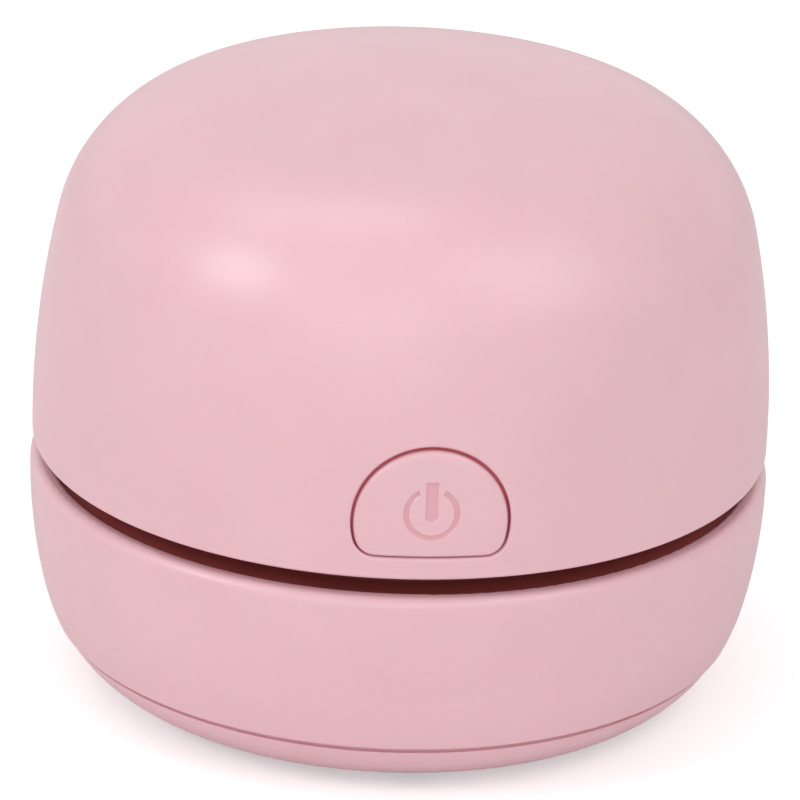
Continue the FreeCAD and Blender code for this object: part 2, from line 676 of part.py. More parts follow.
def spoke(name, inner, outer, half_width, low, high, angle):
    """A radial bar at an angle in degrees."""
    turn = math.radians(angle)
    side, front = round(math.cos(turn), FINE_DIGITS), round(math.sin(turn), FINE_DIGITS)
    made = box(name, (0, 0, low), (as_size(outer) - inner, as_size(half_width) * 2, high))
    corner = (inner * side + half_width * front, inner * front - half_width * side, low)
    return place(made, corner, FreeCAD.Rotation(FreeCAD.Vector(0, 0, 1), angle))


def d_outline(grow=0):
    """The button's outline, grown all round: radius, flat edge's drop, corner radius."""
    return s.button_radius + grow, s.button_flat_drop + grow, s.button_corner + grow


def dome(name, inset, low, rounding=ZERO):
    """A solid under the housing's outer surface, inset all round, from a height up."""
    side = s.housing_side_arc - inset
    shoulder = s.housing_shoulder_arc - inset
    crown = s.housing_crown_arc - inset
    edge_x = dome_side_x + beside(side, low + rounding - housing_widest)
    edge = [(edge_x, low)]
    if rounding.value > 0:
        edge = [(edge_x - rounding, low), (edge_x, low + rounding, rounding)]
    return turned(
        name,
        [
            (ZERO, low),
            *edge,
            (crest_x + shoulder * side_turn_x, crest_z + shoulder * side_turn_z, side),
            (crest_x + shoulder * crown_turn_x, crest_z + shoulder * crown_turn_z, shoulder),
            (ZERO, crown_z + crown, crown),
        ],
    )


def last_step(body, feature):
    """Makes a feature the body's last step and checks that it changed the body's volume."""
    before = body.Shape.Volume
    body.Tip = feature
    doc.recompute()
    assert abs(body.Shape.Volume - before) > 0.1, f"{feature.Name} changes nothing"


def pattern(body, name, feature, count):
    """Repeats a feature about the Z axis."""
    made = body.newObject("PartDesign::PolarPattern", name)
    made.Originals = [feature]
    axes = [origin for origin in body.Origin.OriginFeatures if origin.Role == "Z_Axis"]
    made.Axis = (axes[0], [""])
    made.Angle = 360
    made.Occurrences = count
    last_step(body, made)


def lead(name, *points):
    """An insulated lead through points that differ in one coordinate at a time."""
    turns = {
        "x": FreeCAD.Rotation(FreeCAD.Vector(0, 1, 0), 90),
        "y": ALONG_Y,
        "z": FreeCAD.Rotation(),
    }
    pieces = []
    points = [tuple(as_size(value) for value in point) for point in points]
    for number, (start, end) in enumerate(zip(points, points[1:]), start=1):
        steps = {axis: high - low for axis, low, high in zip("xyz", start, end)}
        axis = max(steps, key=lambda letter: abs(steps[letter].value))
        first, length = (start, steps[axis]) if steps[axis].value > 0 else (end, -steps[axis])
        pieces.append(cylinder(f"{name}_run_{number}", s.wire_radius, length, first, turns[axis]))
        if number > 1:
            ball = doc.addObject("Part::Sphere", f"{name}_bend_{number}")
            bind(ball, "Radius", s.wire_radius)
            pieces.append(place(ball, start))
    return fuse(name, *pieces)


# The dust bin


def make_bin_shell():
    """A turned bowl with a rounded lip, and a rib inside that the collar rests on."""
    apart = s.shell_side_arc - s.shell_shoulder_arc
    share_x = (shoulder_x - shell_side_x) / apart
    share_z = s.shell_shoulder_drop / apart
    inner_shoulder = s.shell_shoulder_arc - s.shell_wall
    inner_side = s.shell_side_arc - s.shell_wall
    lip_side_z = lip_top - s.lip_round_outer
    lip_side_x = shell_side_x + beside(s.shell_side_arc, lip_side_z - shell_widest)
    rib_inside = shell_inside - s.ledge_rib_width
    rib_under = ledge_under - s.ledge_rib_height
    inner_bend = (shoulder_x + inner_shoulder * share_x, shoulder_z - inner_shoulder * share_z)
    outer_bend = (
        shoulder_x + s.shell_shoulder_arc * share_x,
        shoulder_z - s.shell_shoulder_arc * share_z,
    )
    return turned(
        "bin_shell_body",
        [
            (parting_outside, parting_top),
            (*outer_bend, s.shell_shoulder_arc),
            (s.bin_radius, shell_widest, s.shell_side_arc),
            (lip_side_x, lip_side_z, s.shell_side_arc),
            (lip_side_x - s.lip_round_outer, lip_top, s.lip_round_outer),
            (shell_inside + s.lip_round_inner, lip_top),
            (shell_inside, lip_top - s.lip_round_inner, s.lip_round_inner),
            (shell_inside, ledge_under),
            (rib_inside, ledge_under),
            (rib_inside, rib_under),
            (shell_side_x + beside(inner_side, shell_widest - rib_under), rib_under),
            (*inner_bend, -inner_side),
            (shell_foot_inside, shell_foot, -inner_shoulder),
            (parting_inside, shell_foot),
            (parting_inside, parting_top),
        ],
    )


def make_bin_collar():
    """The ring that guides the head, with the posts for the base screws under its seat."""
    ledge_outside = shell_inside - s.fit_gap
    wall = turned(
        "bin_collar_ring",
        [
            (seat_inside, seat_under),
            (collar_outside, seat_under),
            (collar_outside, ledge_under),
            (ledge_outside, ledge_under),
            (ledge_outside, ledge_top),
            (collar_bore, ledge_top),
            (collar_bore, seat_top),
            (seat_inside, seat_top),
        ],
    )
    posts, holes = [], []
    for number, x, y in around(base_post_circle, BASE_SCREWS):
        height = seat_top - base_boss_top
        posts.append(cylinder(f"bin_post_{number}", s.post_radius, height, (x, y, base_boss_top)))
        depth = s.screw_length - s.screw_cover + s.slide_gap
        holes.append(
            cylinder(f"bin_post_hole_{number}", s.screw_shank_radius, depth, (x, y, base_boss_top))
        )
    return cut("bin_collar_moulding", fuse("bin_collar_blank", wall, *posts), *holes)


def brush_rows():
    """The two bristle rows: name and middle along Y."""
    return ("front", -s.brush_offset), ("rear", s.brush_offset)


def groove_top():
    return s.foot_clearance + s.brush_recess


def make_base_plate():
    """The dish under the shell: its spigot, the mouth, the brush grooves, screw bosses and foot pockets."""
    rim_inside = spigot_radius - s.base_rim_wall
    dish = turned(
        "base_dish",
        [
            (ZERO, s.foot_clearance),
            (s.base_bottom_radius, s.foot_clearance),
            (base_top_radius, parting_foot, s.base_edge_arc),
            (parting_inside, parting_foot),
            (parting_inside, shell_foot),
            (spigot_radius, shell_foot),
            (spigot_radius, shell_foot + s.base_spigot_height),
            (rim_inside, shell_foot + s.base_spigot_height),
            (rim_inside, floor_top),
            (ZERO, floor_top),
        ],
    )
    solids, holes = [dish], []
    mouth = stadium(
        "mouth_hole",
        s.mouth_half_length,
        s.mouth_half_width,
        s.foot_clearance - s.through,
        floor_top + s.through,
    )
    holes.append(mouth)
    for row, middle in brush_rows():
        half = s.brush_width / 2
        reach, wide = s.brush_half_length + s.brush_cover, half + s.brush_cover
        solids.append(
            box(
                f"brush_rib_{row}",
                (-reach, middle - wide, s.foot_clearance),
                (reach, middle + wide, groove_top() + s.brush_cover),
            )
        )
        holes.append(
            box(
                f"brush_groove_{row}",
                (-s.brush_half_length, middle - half, s.foot_clearance - s.through),
                (s.brush_half_length, middle + half, groove_top()),
            )
        )
    for number, x, y in around(base_post_circle, BASE_SCREWS):
        height = base_boss_top - s.foot_clearance
        solids.append(cylinder(f"base_boss_{number}", s.post_radius, height, (x, y, s.foot_clearance)))
        holes.append(
            cylinder(
                f"base_recess_{number}",
                s.screw_head_radius + s.slide_gap,
                base_screw_seat - s.foot_clearance + s.through,
                (x, y, s.foot_clearance - s.through),
            )
        )
        holes.append(
            cylinder(
                f"base_hole_{number}",
                s.screw_shank_radius + s.fit_gap,
                height + s.through,
                (x, y, s.foot_clearance),
            )
        )
    for number, x, y in around(s.foot_circle, FEET, FEET_START):
        holes.append(
            cylinder(
                f"foot_pocket_{number}",
                s.foot_radius + s.fit_gap,
                s.foot_pocket + s.through,
                (x, y, s.foot_clearance - s.through),
            )
        )
    return cut("base_moulding", fuse("base_blank", *solids), *holes)


def make_base_screws():
    return group(
        "base_screw_set",
        [
            screw(
                f"base_screw_{number}",
                x,
                y,
                base_screw_seat,
                s.screw_head_radius,
                s.screw_head_height,
                s.screw_shank_radius,
                s.screw_length,
            )
            for number, x, y in around(base_post_circle, BASE_SCREWS)
        ],
    )


def make_foot_pads():
    """Round rubber pads, set in pockets, with a rounded lower edge."""
    top = s.foot_clearance + s.foot_pocket
    pads = []
    for number, x, y in around(s.foot_circle, FEET, FEET_START):
        pad = turned(
            f"foot_pad_{number}",
            [
                (ZERO, ZERO),
                (s.foot_radius - s.foot_round, ZERO),
                (s.foot_radius, s.foot_round, s.foot_round),
                (s.foot_radius, top),
                (ZERO, top),
            ],
        )
        pads.append(place(pad, (x, y, 0)))
    return group("foot_pad_set", pads)


def make_inlet_duct():
    """The tube over the mouth: it lets the dust out at both sides, under a roof."""
    top = s.foot_clearance + s.duct_height
    roof_under = top - s.duct_roof
    outer_length, outer_width = s.mouth_half_length + s.duct_wall, s.mouth_half_width + s.duct_wall
    tube = stadium("duct_tube", outer_length, outer_width, floor_top, top)
    flange = stadium(
        "duct_foot",
        outer_length + s.duct_flange,
        outer_width + s.duct_flange,
        floor_top,
        floor_top + s.duct_wall,
    )
    bore = stadium(
        "duct_bore", s.mouth_half_length, s.mouth_half_width, floor_top - s.through, roof_under
    )
    side = outer_width + s.through
    windows = box(
        "duct_windows",
        (-s.duct_window_half_length, -side, roof_under - s.duct_window_height),
        (s.duct_window_half_length, side, roof_under),
    )
    return cut("duct_moulding", fuse("duct_blank", tube, flange), bore, windows)


def make_tufts():
    """Each tuft is a round bundle of bristles."""
    tufts = []
    root_top = groove_top() - s.brush_bar + s.tuft_root
    for row, middle in brush_rows():
        for number in range(TUFTS_PER_STRIP):
            x = s.tuft_spacing * (number - (TUFTS_PER_STRIP - 1) / 2)
            tufts.append(
                cylinder(
                    f"tuft_{row}_{number}",
                    s.tuft_radius,
                    root_top - s.tuft_floor_gap,
                    (x, middle, s.tuft_floor_gap),
                )
            )
    return group("tuft_set", tufts)


def make_brush_bars(tufts):
    bars = []
    for row, middle in brush_rows():
        half = s.brush_width / 2 - s.fit_gap
        reach = s.brush_half_length - s.fit_gap
        bars.append(
            box(
                f"brush_bar_{row}",
                (-reach, middle - half, groove_top() - s.brush_bar),
                (reach, middle + half, groove_top()),
            )
        )
    return cut("brush_bar_set", group("brush_bar_blanks", bars), tufts)


# The head's fan housing, filter and chassis


def make_fan_housing():
    """The skirt with its exhaust windows, and the plate between filter and fan."""
    seal_z = seat_top + s.seal_rise
    groove_half = s.seal_section + s.fit_gap
    groove_floor = skirt_outside - s.seal_groove
    skirt = turned(
        "fan_skirt",
        [
            (skirt_inside, seat_top),
            (skirt_outside, seat_top),
            (skirt_outside, seal_z - groove_half),
            (groove_floor, seal_z - groove_half),
            (groove_floor, seal_z + groove_half),
            (skirt_outside, seal_z + groove_half),
            (skirt_outside, deck_under),
            (skirt_inside, deck_under),
        ],
    )
    window_top = deck_under - s.window_margin
    window_half = s.window_width / 2
    sketch = new_sketch(skirt, "window_profile")
    outline(
        sketch,
        [
            (-window_half, window_top - s.window_height),
            (window_half, window_top - s.window_height),
            (window_half, window_top),
            (-window_half, window_top),
        ],
    )
    doc.recompute()
    window = skirt.newObject("PartDesign::Pocket", "window_pocket")
    window.Profile = sketch
    bind(window, "Length", skirt_outside + s.through)
    last_step(skirt, window)
    pattern(skirt, "window_pattern", window, WINDOWS)

    in_skirt = (skirt_inside + skirt_outside) / 2
    solids = [
        skirt,
        ring("fan_plate_ring", s.fan_eye_radius, in_skirt, fan_plate_under, fan_plate_top),
        cylinder("eye_hub", s.eye_hub_radius, s.fan_plate, (0, 0, fan_plate_under)),
    ]
    half, reach = s.eye_bar / 2, s.fan_eye_radius + s.eye_bar
    for way, half_x, half_y in (("x", reach, half), ("y", half, reach)):
        low, high = (-half_x, -half_y, fan_plate_under), (half_x, half_y, fan_plate_top)
        solids.append(box(f"eye_bar_{way}", low, high))
    holes = []
    for number, x, y in around(fan_post_circle, FAN_SCREWS, FAN_SCREWS_START):
        height = deck_under - fan_plate_under
        solids.append(cylinder(f"fan_post_{number}", s.fan_post_radius, height, (x, y, fan_plate_under)))
        holes.append(
            cylinder(
                f"fan_recess_{number}",
                s.screw_head_radius + s.slide_gap,
                s.fan_screw_recess + s.through,
                (x, y, fan_plate_under - s.through),
            )
        )
        holes.append(
            cylinder(
                f"fan_hole_{number}",
                s.screw_shank_radius + s.fit_gap,
                height + s.through,
                (x, y, fan_plate_under),
            )
        )
    return cut("fan_housing_moulding", fuse("fan_housing_blank", *solids), *holes)


def make_fan_screws():
    return group(
        "fan_screw_set",
        [
            screw(
                f"fan_screw_{number}",
                x,
                y,
                fan_screw_seat,
                s.screw_head_radius,
                s.screw_head_height,
                s.screw_shank_radius,
                s.fan_screw_length,
            )
            for number, x, y in around(fan_post_circle, FAN_SCREWS, FAN_SCREWS_START)
        ],
    )


def housing_boss_places():
    """The four screw bosses of the housing, beside its front and its rear."""
    side = boss_circle * sine(s.boss_angle)
    ahead = boss_circle * cosine(s.boss_angle)
    return enumerate(((side, ahead), (-side, ahead), (-side, -ahead), (side, -ahead)))


def make_housing_screws():
    return group(
        "housing_screw_set",
        [
            screw(
                f"housing_screw_{number}",
                x,
                y,
                deck_under,
                s.screw_head_radius,
                s.screw_head_height,
                s.screw_shank_radius,
                s.screw_length,
            )
            for number, (x, y) in housing_boss_places()
        ],
    )


def make_bin_seal():
    seal = doc.addObject("Part::Torus", "seal_ring")
    bind(seal, "Radius1", skirt_outside - s.seal_groove + s.seal_section)
    bind(seal, "Radius2", s.seal_section)
    return place(seal, (0, 0, seat_top + s.seal_rise))


def motor_screw_places():
    return around(s.motor_screw_circle, 2)


def cell_cylinder(name, radius, front, rear):
    return cylinder(name, radius, rear - front, (cell_x, front, cell_z), ALONG_Y)


def strap_middle():
    return strap_front + s.strap_width / 2


def strap_stakes():
    """Where the strap's two feet are staked to the deck."""
    reach = s.cell_radius + s.fit_gap + s.strap_thickness + s.strap_foot / 2
    return (("left", cell_x - reach), ("right", cell_x + reach))


def make_chassis():
    """The deck over the fan, with everything that the motor, board, cell and switch stand on."""
    deck_low, deck_high = (0, 0, deck_under), (0, 0, deck_top)
    solids = [
        cylinder("deck", deck_radius, s.deck_thickness, deck_low),
        cylinder("pedestal", s.pedestal_radius, s.pedestal_height, deck_low),
    ]
    holes = [
        cylinder(
            "motor_nose_hole",
            s.motor_boss_radius + s.fit_gap,
            s.pedestal_height + s.through * 2,
            (0, 0, deck_under - s.through),
        )
    ]
    for number, x, y in around(fan_post_circle, FAN_SCREWS, FAN_SCREWS_START):
        solids.append(
            cylinder(
                f"fan_boss_{number}",
                s.fan_post_radius,
                s.deck_thickness + s.fan_boss_height,
                (x, y, deck_under),
            )
        )
        holes.append(
            cylinder(
                f"fan_boss_hole_{number}",
                s.screw_shank_radius,
                fan_screw_seat + s.fan_screw_length + s.slide_gap - deck_under,
                (x, y, deck_under),
            )
        )
    for number, (x, y) in housing_boss_places():
        holes.append(
            cylinder(
                f"deck_hole_{number}",
                s.screw_shank_radius + s.fit_gap,
                s.deck_thickness + s.through * 2,
                (x, y, deck_under - s.through),
            )
        )
    for number, x, y in motor_screw_places():
        holes.append(
            cylinder(
                f"motor_recess_{number}",
                s.motor_screw_head + s.fit_gap,
                s.screw_head_height + s.through,
                (x, y, deck_under - s.through),
            )
        )
        holes.append(
            cylinder(
                f"motor_hole_{number}",
                s.motor_screw_radius + s.fit_gap,
                s.pedestal_height + s.through,
                (x, y, deck_under),
            )
        )
    for side, x in (("left", -s.board_post_x), ("right", s.board_post_x)):
        foot = (x, s.board_post_y, deck_top)
        solids.append(cylinder(f"board_post_{side}", s.board_post_radius, s.board_rise, foot))
        holes.append(cylinder(f"board_hole_{side}", s.board_screw_radius, s.board_rise, foot))
    for end, y in (("front", -strap_middle()), ("rear", strap_middle())):
        half = s.saddle_width / 2
        saddle = box(
            f"saddle_{end}",
            (cell_x - s.saddle_half_span, y - half, deck_top),
            (cell_x + s.saddle_half_span, y + half, cell_z),
        )
        solids.append(saddle)
    holes.append(
        cell_cylinder("cell_space", s.cell_radius + s.fit_gap, -s.cell_length, s.cell_length)
    )
    for side, x in strap_stakes():
        stake_height = s.strap_thickness + s.stake_stand
        solids.append(
            cylinder(f"strap_stake_{side}", s.stake_radius, stake_height, (x, strap_middle(), deck_top))
        )
    switch_half = s.switch_side / 2
    solids.append(
        box(
            "switch_bracket",
            (-s.bracket_half_width, s.bracket_wall - switch_front, deck_top),
            (s.bracket_half_width, switch_back + s.bracket_wall, switch_z + switch_half),
        )
    )
    holes.append(
        box(
            "switch_pocket",
            (-switch_half - s.fit_gap, -switch_front - s.through, switch_z - switch_half),
            (switch_half + s.fit_gap, switch_back + s.fit_gap, switch_z + s.switch_side),
        )
    )
    notch_half = s.button_radius + s.button_gap + s.button_collar + s.slide_gap
    holes.append(
        box(
            "button_notch",
            (-notch_half, -s.body_radius, deck_under - s.through),
            (notch_half, collar_end + s.slide_gap, deck_top + s.through),
        )
    )
    return cut("chassis_moulding", fuse("chassis_blank", *solids), *holes)


def make_filter_frame():
    """The filter's rim and bars, and the tab that it is pulled out by."""
    filter_top = filter_foot + s.filter_height
    bar_top = filter_foot + s.filter_bar
    rim_inside = filter_outside - s.filter_rim
    half = s.filter_bar / 2
    reach = rim_inside + half
    solids = [
        ring("filter_rim_ring", rim_inside, filter_outside, filter_foot, filter_top),
        cylinder("filter_middle", s.filter_hub_radius, s.filter_bar, (0, 0, filter_foot)),
        box(
            "filter_tab",
            (-s.filter_tab_length / 2, -half, filter_foot - s.filter_tab_height),
            (s.filter_tab_length / 2, half, bar_top),
        ),
    ]
    for way, half_x, half_y in (("x", reach, half), ("y", half, reach)):
        solids.append(box(f"filter_bar_{way}", (-half_x, -half_y, filter_foot), (half_x, half_y, bar_top)))
    return fuse("filter_moulding", *solids)


def make_filter_pleats():
    """One sheet folded to and fro between the frame's bars and its top."""
    low = filter_foot.value + s.filter_bar.value
    high = filter_foot.value + s.filter_height.value
    reach = filter_outside.value - s.filter_rim.value
    thick = s.pleat_sheet.value
    folds = 2 * int(reach / s.pleat_pitch.value) + 2
    step = 2 * reach / folds
    bottom, top = [], []
    for fold in range(folds + 1):
        x = fold * step - reach
        rise = 0 if fold % 2 else high - low - thick
        bottom.append(FreeCAD.Vector(x, -reach, low + rise))
        top.append(FreeCAD.Vector(x, -reach, low + rise + thick))
    section = Part.Face(Part.makePolygon(bottom + top[::-1] + bottom[:1]))
    sheet_solid = section.extrude(FreeCAD.Vector(0, 2 * reach, 0))
    round_space = Part.makeCylinder(reach, high - low, FreeCAD.Vector(0, 0, low))
    made = doc.addObject("Part::Feature", "filter_sheet")
    made.Shape = sheet_solid.common(round_space).removeSplitter()
    return made


# The motor and what turns with it


def make_motor_can():
    floor = motor_seat + s.motor_wall
    inside = s.motor_radius - s.motor_wall
    can = turned(
        "motor_can_body",
        [
            (s.bush_radius, motor_seat - s.motor_boss_height),
            (s.motor_boss_radius, motor_seat - s.motor_boss_height),
            (s.motor_boss_radius, motor_seat),
            (s.motor_radius, motor_seat),
            (s.motor_radius, motor_top),
            (inside, motor_top),
            (inside, floor),
            (s.bush_radius, floor),
        ],
    )
    holes = [
        cylinder(
            f"can_hole_{number}",
            s.motor_screw_radius,
            s.motor_wall + s.through * 2,
            (x, y, motor_seat - s.through),
        )
        for number, x, y in motor_screw_places()
    ]
    return cut("motor_can_drawn", can, *holes)


def brush_arm(side, sign):
    """A carbon brush on its spring arm, which ends as a terminal above the end cap."""
    inner = s.commutator_radius + s.shaft_gap
    outer = inner + s.carbon_depth
    low = commutator_foot + s.slide_gap
    high = low + s.carbon_height
    terminal_top = motor_top + s.motor_cap + s.terminal_height
    half = s.carbon_width / 2
    arm_inner = outer - s.arm_thickness
    if sign > 0:
        carbon = box(f"carbon_{side}", (inner, -half, low), (outer, half, high))
        arm = box(f"arm_{side}", (arm_inner, -half, low), (outer, half, terminal_top))
    else:
        carbon = box(f"carbon_{side}", (-outer, -half, low), (-inner, half, high))
        arm = box(f"arm_{side}", (-outer, -half, low), (-arm_inner, half, terminal_top))
    return fuse(f"brush_arm_{side}", carbon, arm)


def make_motor_brushes():
    return group("motor_brush_set", [brush_arm("left", -1), brush_arm("right", 1)])


def make_motor_end_cap(brushes):
    inside = s.motor_radius - s.motor_wall - s.fit_gap
    cap = turned(
        "end_cap_body",
        [
            (s.bush_radius, motor_top - s.motor_wall),
            (inside, motor_top - s.motor_wall),
            (inside, motor_top),
            (s.motor_radius, motor_top),
            (s.motor_radius, motor_top + s.motor_cap),
            (s.bush_radius, motor_top + s.motor_cap),
        ],
    )
    return cut("end_cap_moulding", cap, brushes)


def make_bearing_bushes():
    bore = s.shaft_radius + s.shaft_gap
    front = motor_seat - s.motor_boss_height
    rear = motor_top + s.motor_cap - s.bush_length
    return group(
        "bush_set",
        [
            ring("front_bush", bore, s.bush_radius, front, front + s.bush_length),
            ring("rear_bush", bore, s.bush_radius, rear, rear + s.bush_length),
        ],
    )


def make_magnets():
    outside = s.motor_radius - s.motor_wall
    low = (core_foot + core_top - s.magnet_length) / 2
    halves = []
    for side, middle in (("front", -90), ("rear", 90)):
        start = FreeCAD.Rotation(FreeCAD.Vector(0, 0, 1), middle - s.magnet_angle.value / 2)
        blank = cylinder(
            f"magnet_blank_{side}", outside, s.magnet_length, (0, 0, low), start, s.magnet_angle
        )
        bore = cylinder(f"magnet_bore_{side}", outside - s.magnet_wall, s.magnet_length, (0, 0, low))
        halves.append(cut(f"magnet_{side}", blank, bore))
    return group("magnet_pair", halves)


def make_motor_screws():
    return group(
        "motor_screw_set",
        [
            screw(
                f"motor_screw_{number}",
                x,
                y,
                deck_under + s.screw_head_height,
                s.motor_screw_head,
                s.screw_head_height,
                s.motor_screw_radius,
                s.motor_screw_length,
            )
            for number, x, y in motor_screw_places()
        ],
    )


def make_motor_shaft():
    top = motor_top + s.motor_cap + s.shaft_end
    return cylinder("shaft", s.shaft_radius, top - blade_foot, (0, 0, blade_foot))


def make_armature_core():
    """Stacked iron: a hub and three poles with curved shoes."""
    armature_radius = s.motor_radius - s.motor_wall - s.magnet_wall - s.air_gap
    shoe_inside = armature_radius - s.pole_shoe
    solids = [cylinder("core_hub", s.armature_hub, s.armature_length, (0, 0, core_foot))]
    for pole in range(POLES):
        angle = 90 + 360 / POLES * pole
        solids.append(
            spoke(
                f"pole_{pole}",
                s.shaft_radius,
                armature_radius - s.pole_shoe / 2,
                s.pole_width / 2,
                core_foot,
                core_top,
                angle,
            )
        )
        start = FreeCAD.Rotation(FreeCAD.Vector(0, 0, 1), angle - s.pole_angle.value / 2)
        blank = cylinder(
            f"shoe_blank_{pole}",
            armature_radius,
            s.armature_length,
            (0, 0, core_foot),
            start,
            s.pole_angle,
        )
        bore = cylinder(f"shoe_bore_{pole}", shoe_inside, s.armature_length, (0, 0, core_foot))
        solids.append(cut(f"shoe_{pole}", blank, bore))
    bore = cylinder("core_bore", s.shaft_radius, s.armature_length, (0, 0, core_foot))
    return cut("core_stack", fuse("core_blank", *solids), bore)


def make_armature_windings(core):
    """A coil round each pole, over the core's ends too."""
    armature_radius = s.motor_radius - s.motor_wall - s.magnet_wall - s.air_gap
    coils = [
        spoke(
            f"coil_{pole}",
            s.armature_hub + s.slide_gap,
            armature_radius - s.pole_shoe - s.slide_gap,
            s.pole_width / 2 + s.coil_thickness,
            core_foot - s.coil_thickness,
            core_top + s.coil_thickness,
            90 + 360 / POLES * pole,
        )
        for pole in range(POLES)
    ]
    return cut("coil_set", group("coil_blanks", coils), core)


def make_commutator():
    top = commutator_foot + s.commutator_length
    return ring("commutator_ring", s.shaft_radius, s.commutator_radius, commutator_foot, top)


def make_impeller():
    """A backward-curved fan: hub, back plate and blades."""
    back_top = blade_top + s.impeller_back
    hub_top = deck_under - s.slide_gap
    body = turned(
        "impeller_body",
        [
            (s.shaft_radius, blade_foot),
            (s.impeller_hub, blade_foot),
            (s.impeller_hub, blade_top),
            (s.impeller_radius, blade_top),
            (s.impeller_radius, back_top),
            (s.impeller_hub, back_top),
            (s.impeller_hub, hub_top),
            (s.shaft_radius, hub_top),
        ],
    )
    sweep = math.radians(BLADE_SWEEP)
    turn_x, turn_y = round(math.cos(sweep), FINE_DIGITS), round(math.sin(sweep), FINE_DIGITS)
    outer, thin = s.impeller_radius - s.fit_gap, s.blade_thickness
    tip_x, tip_y = outer * turn_x, outer * -turn_y
    sketch = new_sketch(body, "blade_profile", "XY_Plane")
    sketch.setExpression("AttachmentOffset.Base.z", blade_foot.text)
    outline(
        sketch,
        [
            (s.blade_inner, -thin / 2),
            (tip_x - thin * turn_y, tip_y - thin * turn_x, -s.blade_arc),
            (tip_x, tip_y),
            (s.blade_inner, thin / 2, s.blade_arc + thin),
        ],
    )
    doc.recompute()
    blade = body.newObject("PartDesign::Pad", "blade")
    blade.Profile = sketch
    bind(blade, "Length", s.impeller_blade_height + s.impeller_back / 2)
    last_step(body, blade)
    pattern(body, "blade_pattern", blade, BLADES)
    return body


# The housing, the button and its switch


def make_upper_housing():
    """The dome: a thin shell with a collar for the button, four bosses, the port and the lamp hole."""
    outer = dome("dome_outside", ZERO, housing_foot, s.housing_edge_round)
    inner = dome("dome_inside", s.housing_wall, housing_foot - s.through)
    shell = cut("dome_shell", outer, inner)
    boss_blanks, holes = [], []
    for number, (x, y) in housing_boss_places():
        length = housing_top - deck_top
        boss_blanks.append(
            cylinder(f"boss_blank_{number}", s.boss_radius, length, (x, y, deck_top))
        )
        holes.append(
            cylinder(
                f"boss_hole_{number}",
                s.screw_shank_radius,
                s.screw_length - s.deck_thickness + s.slide_gap,
                (x, y, deck_top),
            )
        )
    bosses = common("bosses", fuse("boss_blanks", *boss_blanks), outer)
    front = -s.body_radius - s.through
    collar_blank = d_prism(
        "collar_blank", *d_outline(s.button_gap + s.button_collar), button_z, front, collar_end
    )
    collar = common("button_collar", collar_blank, outer)
    holes.append(
        d_prism(
            "button_hole", *d_outline(s.button_gap), button_z, front, collar_end + s.through
        )
    )
    holes.append(
        lying_stadium(
            "port_hole",
            s.port_half_width + s.port_gap,
            s.port_height / 2 + s.port_gap,
            port_z,
            housing_inside - s.through * 2,
            s.body_radius + s.through,
        )
    )
    holes.append(
        cylinder(
            "lamp_hole",
            s.lamp_radius + s.fit_gap,
            s.housing_wall + s.through * 3,
            (s.lamp_x, housing_inside - s.through * 2, port_z),
            ALONG_Y,
        )
    )
    return cut("housing_moulding", fuse("housing_blank", shell, bosses, collar), *holes)


def make_power_button():
    """The cap follows the dome, with the power sign cut in, a flange behind and a stem for the switch."""
    front = -s.body_radius - s.through
    outside = dome("button_outside", ZERO, housing_foot)
    plug = common(
        "button_plug",
        d_prism("button_blank", *d_outline(), button_z, front, collar_end + s.fit_gap),
        outside,
    )
    flange = d_prism(
        "flange_blank",
        *d_outline(s.button_flange),
        button_z,
        collar_end + s.fit_gap,
        flange_back,
    )
    trim = box(
        "flange_trim",
        (-s.body_radius, -s.body_radius, housing_foot),
        (s.body_radius, flange_back + s.through, deck_top + s.slide_gap),
    )
    hollow = common(
        "button_hollow",
        d_prism(
            "hollow_blank", *d_outline(-s.button_wall), button_z, front, flange_back + s.through
        ),
        dome("button_back", s.button_face, housing_foot),
    )
    cap = cut("button_cap", fuse("button_shell", plug, flange), hollow, trim)
    stem_front = s.through - s.body_radius
    stem = cylinder(
        "button_stem",
        s.stem_radius,
        plunger_tip - stem_front,
        (0, stem_front, switch_z),
        ALONG_Y,
    )
    seat = cylinder(
        "spring_seat",
        s.spring_radius + s.seat_rim,
        spring_front() - s.spring_wire - stem_front,
        (0, stem_front, switch_z),
        ALONG_Y,
    )
    sign = power_sign(front)
    engraving = cut("sign_space", sign, dome("sign_floor", s.icon_depth, housing_foot))
    return cut("button_moulding", fuse("button_whole", cap, stem, seat), engraving)


def power_sign(front):
    """The common sign for power: an open ring and an upright bar, as a block along Y."""
    sign_z = button_z + s.icon_rise
    outer = s.icon_radius + s.icon_stroke / 2
    inner = s.icon_radius - s.icon_stroke / 2
    depth = s.button_face + s.through * 2
    blank = cylinder("sign_blank", outer, depth, (0, front, sign_z), ALONG_Y)
    bore = cylinder("sign_bore", inner, depth, (0, front, sign_z), ALONG_Y)
    reach = s.icon_radius + s.icon_stroke
    side = reach * sine(s.icon_opening) / cosine(s.icon_opening)
    opening = doc.addObject("PartDesign::Body", "sign_opening")
    sketch = new_sketch(opening, "sign_opening_profile")
    sketch.setExpression("AttachmentOffset.Base.z", (-front).text)
    outline(sketch, [(ZERO, sign_z), (side, sign_z + reach), (-side, sign_z + reach)])
    feature = opening.newObject("PartDesign::Pad", "sign_opening_pad")
    feature.Profile = sketch
    bind(feature, "Length", depth)
    feature.Reversed = True
    half = s.icon_bar_width / 2
    bar_foot = sign_z - s.icon_bar_drop
    bar = box("sign_bar", (-half, front, bar_foot + half), (half, front + depth, sign_z + s.icon_bar_top))
    end = cylinder("sign_bar_end", half, depth, (0, front, bar_foot + half), ALONG_Y)
    return fuse("power_sign", cut("sign_ring", blank, bore, opening), bar, end)


def spring_front():
    return s.spring_seat_depth - s.body_radius


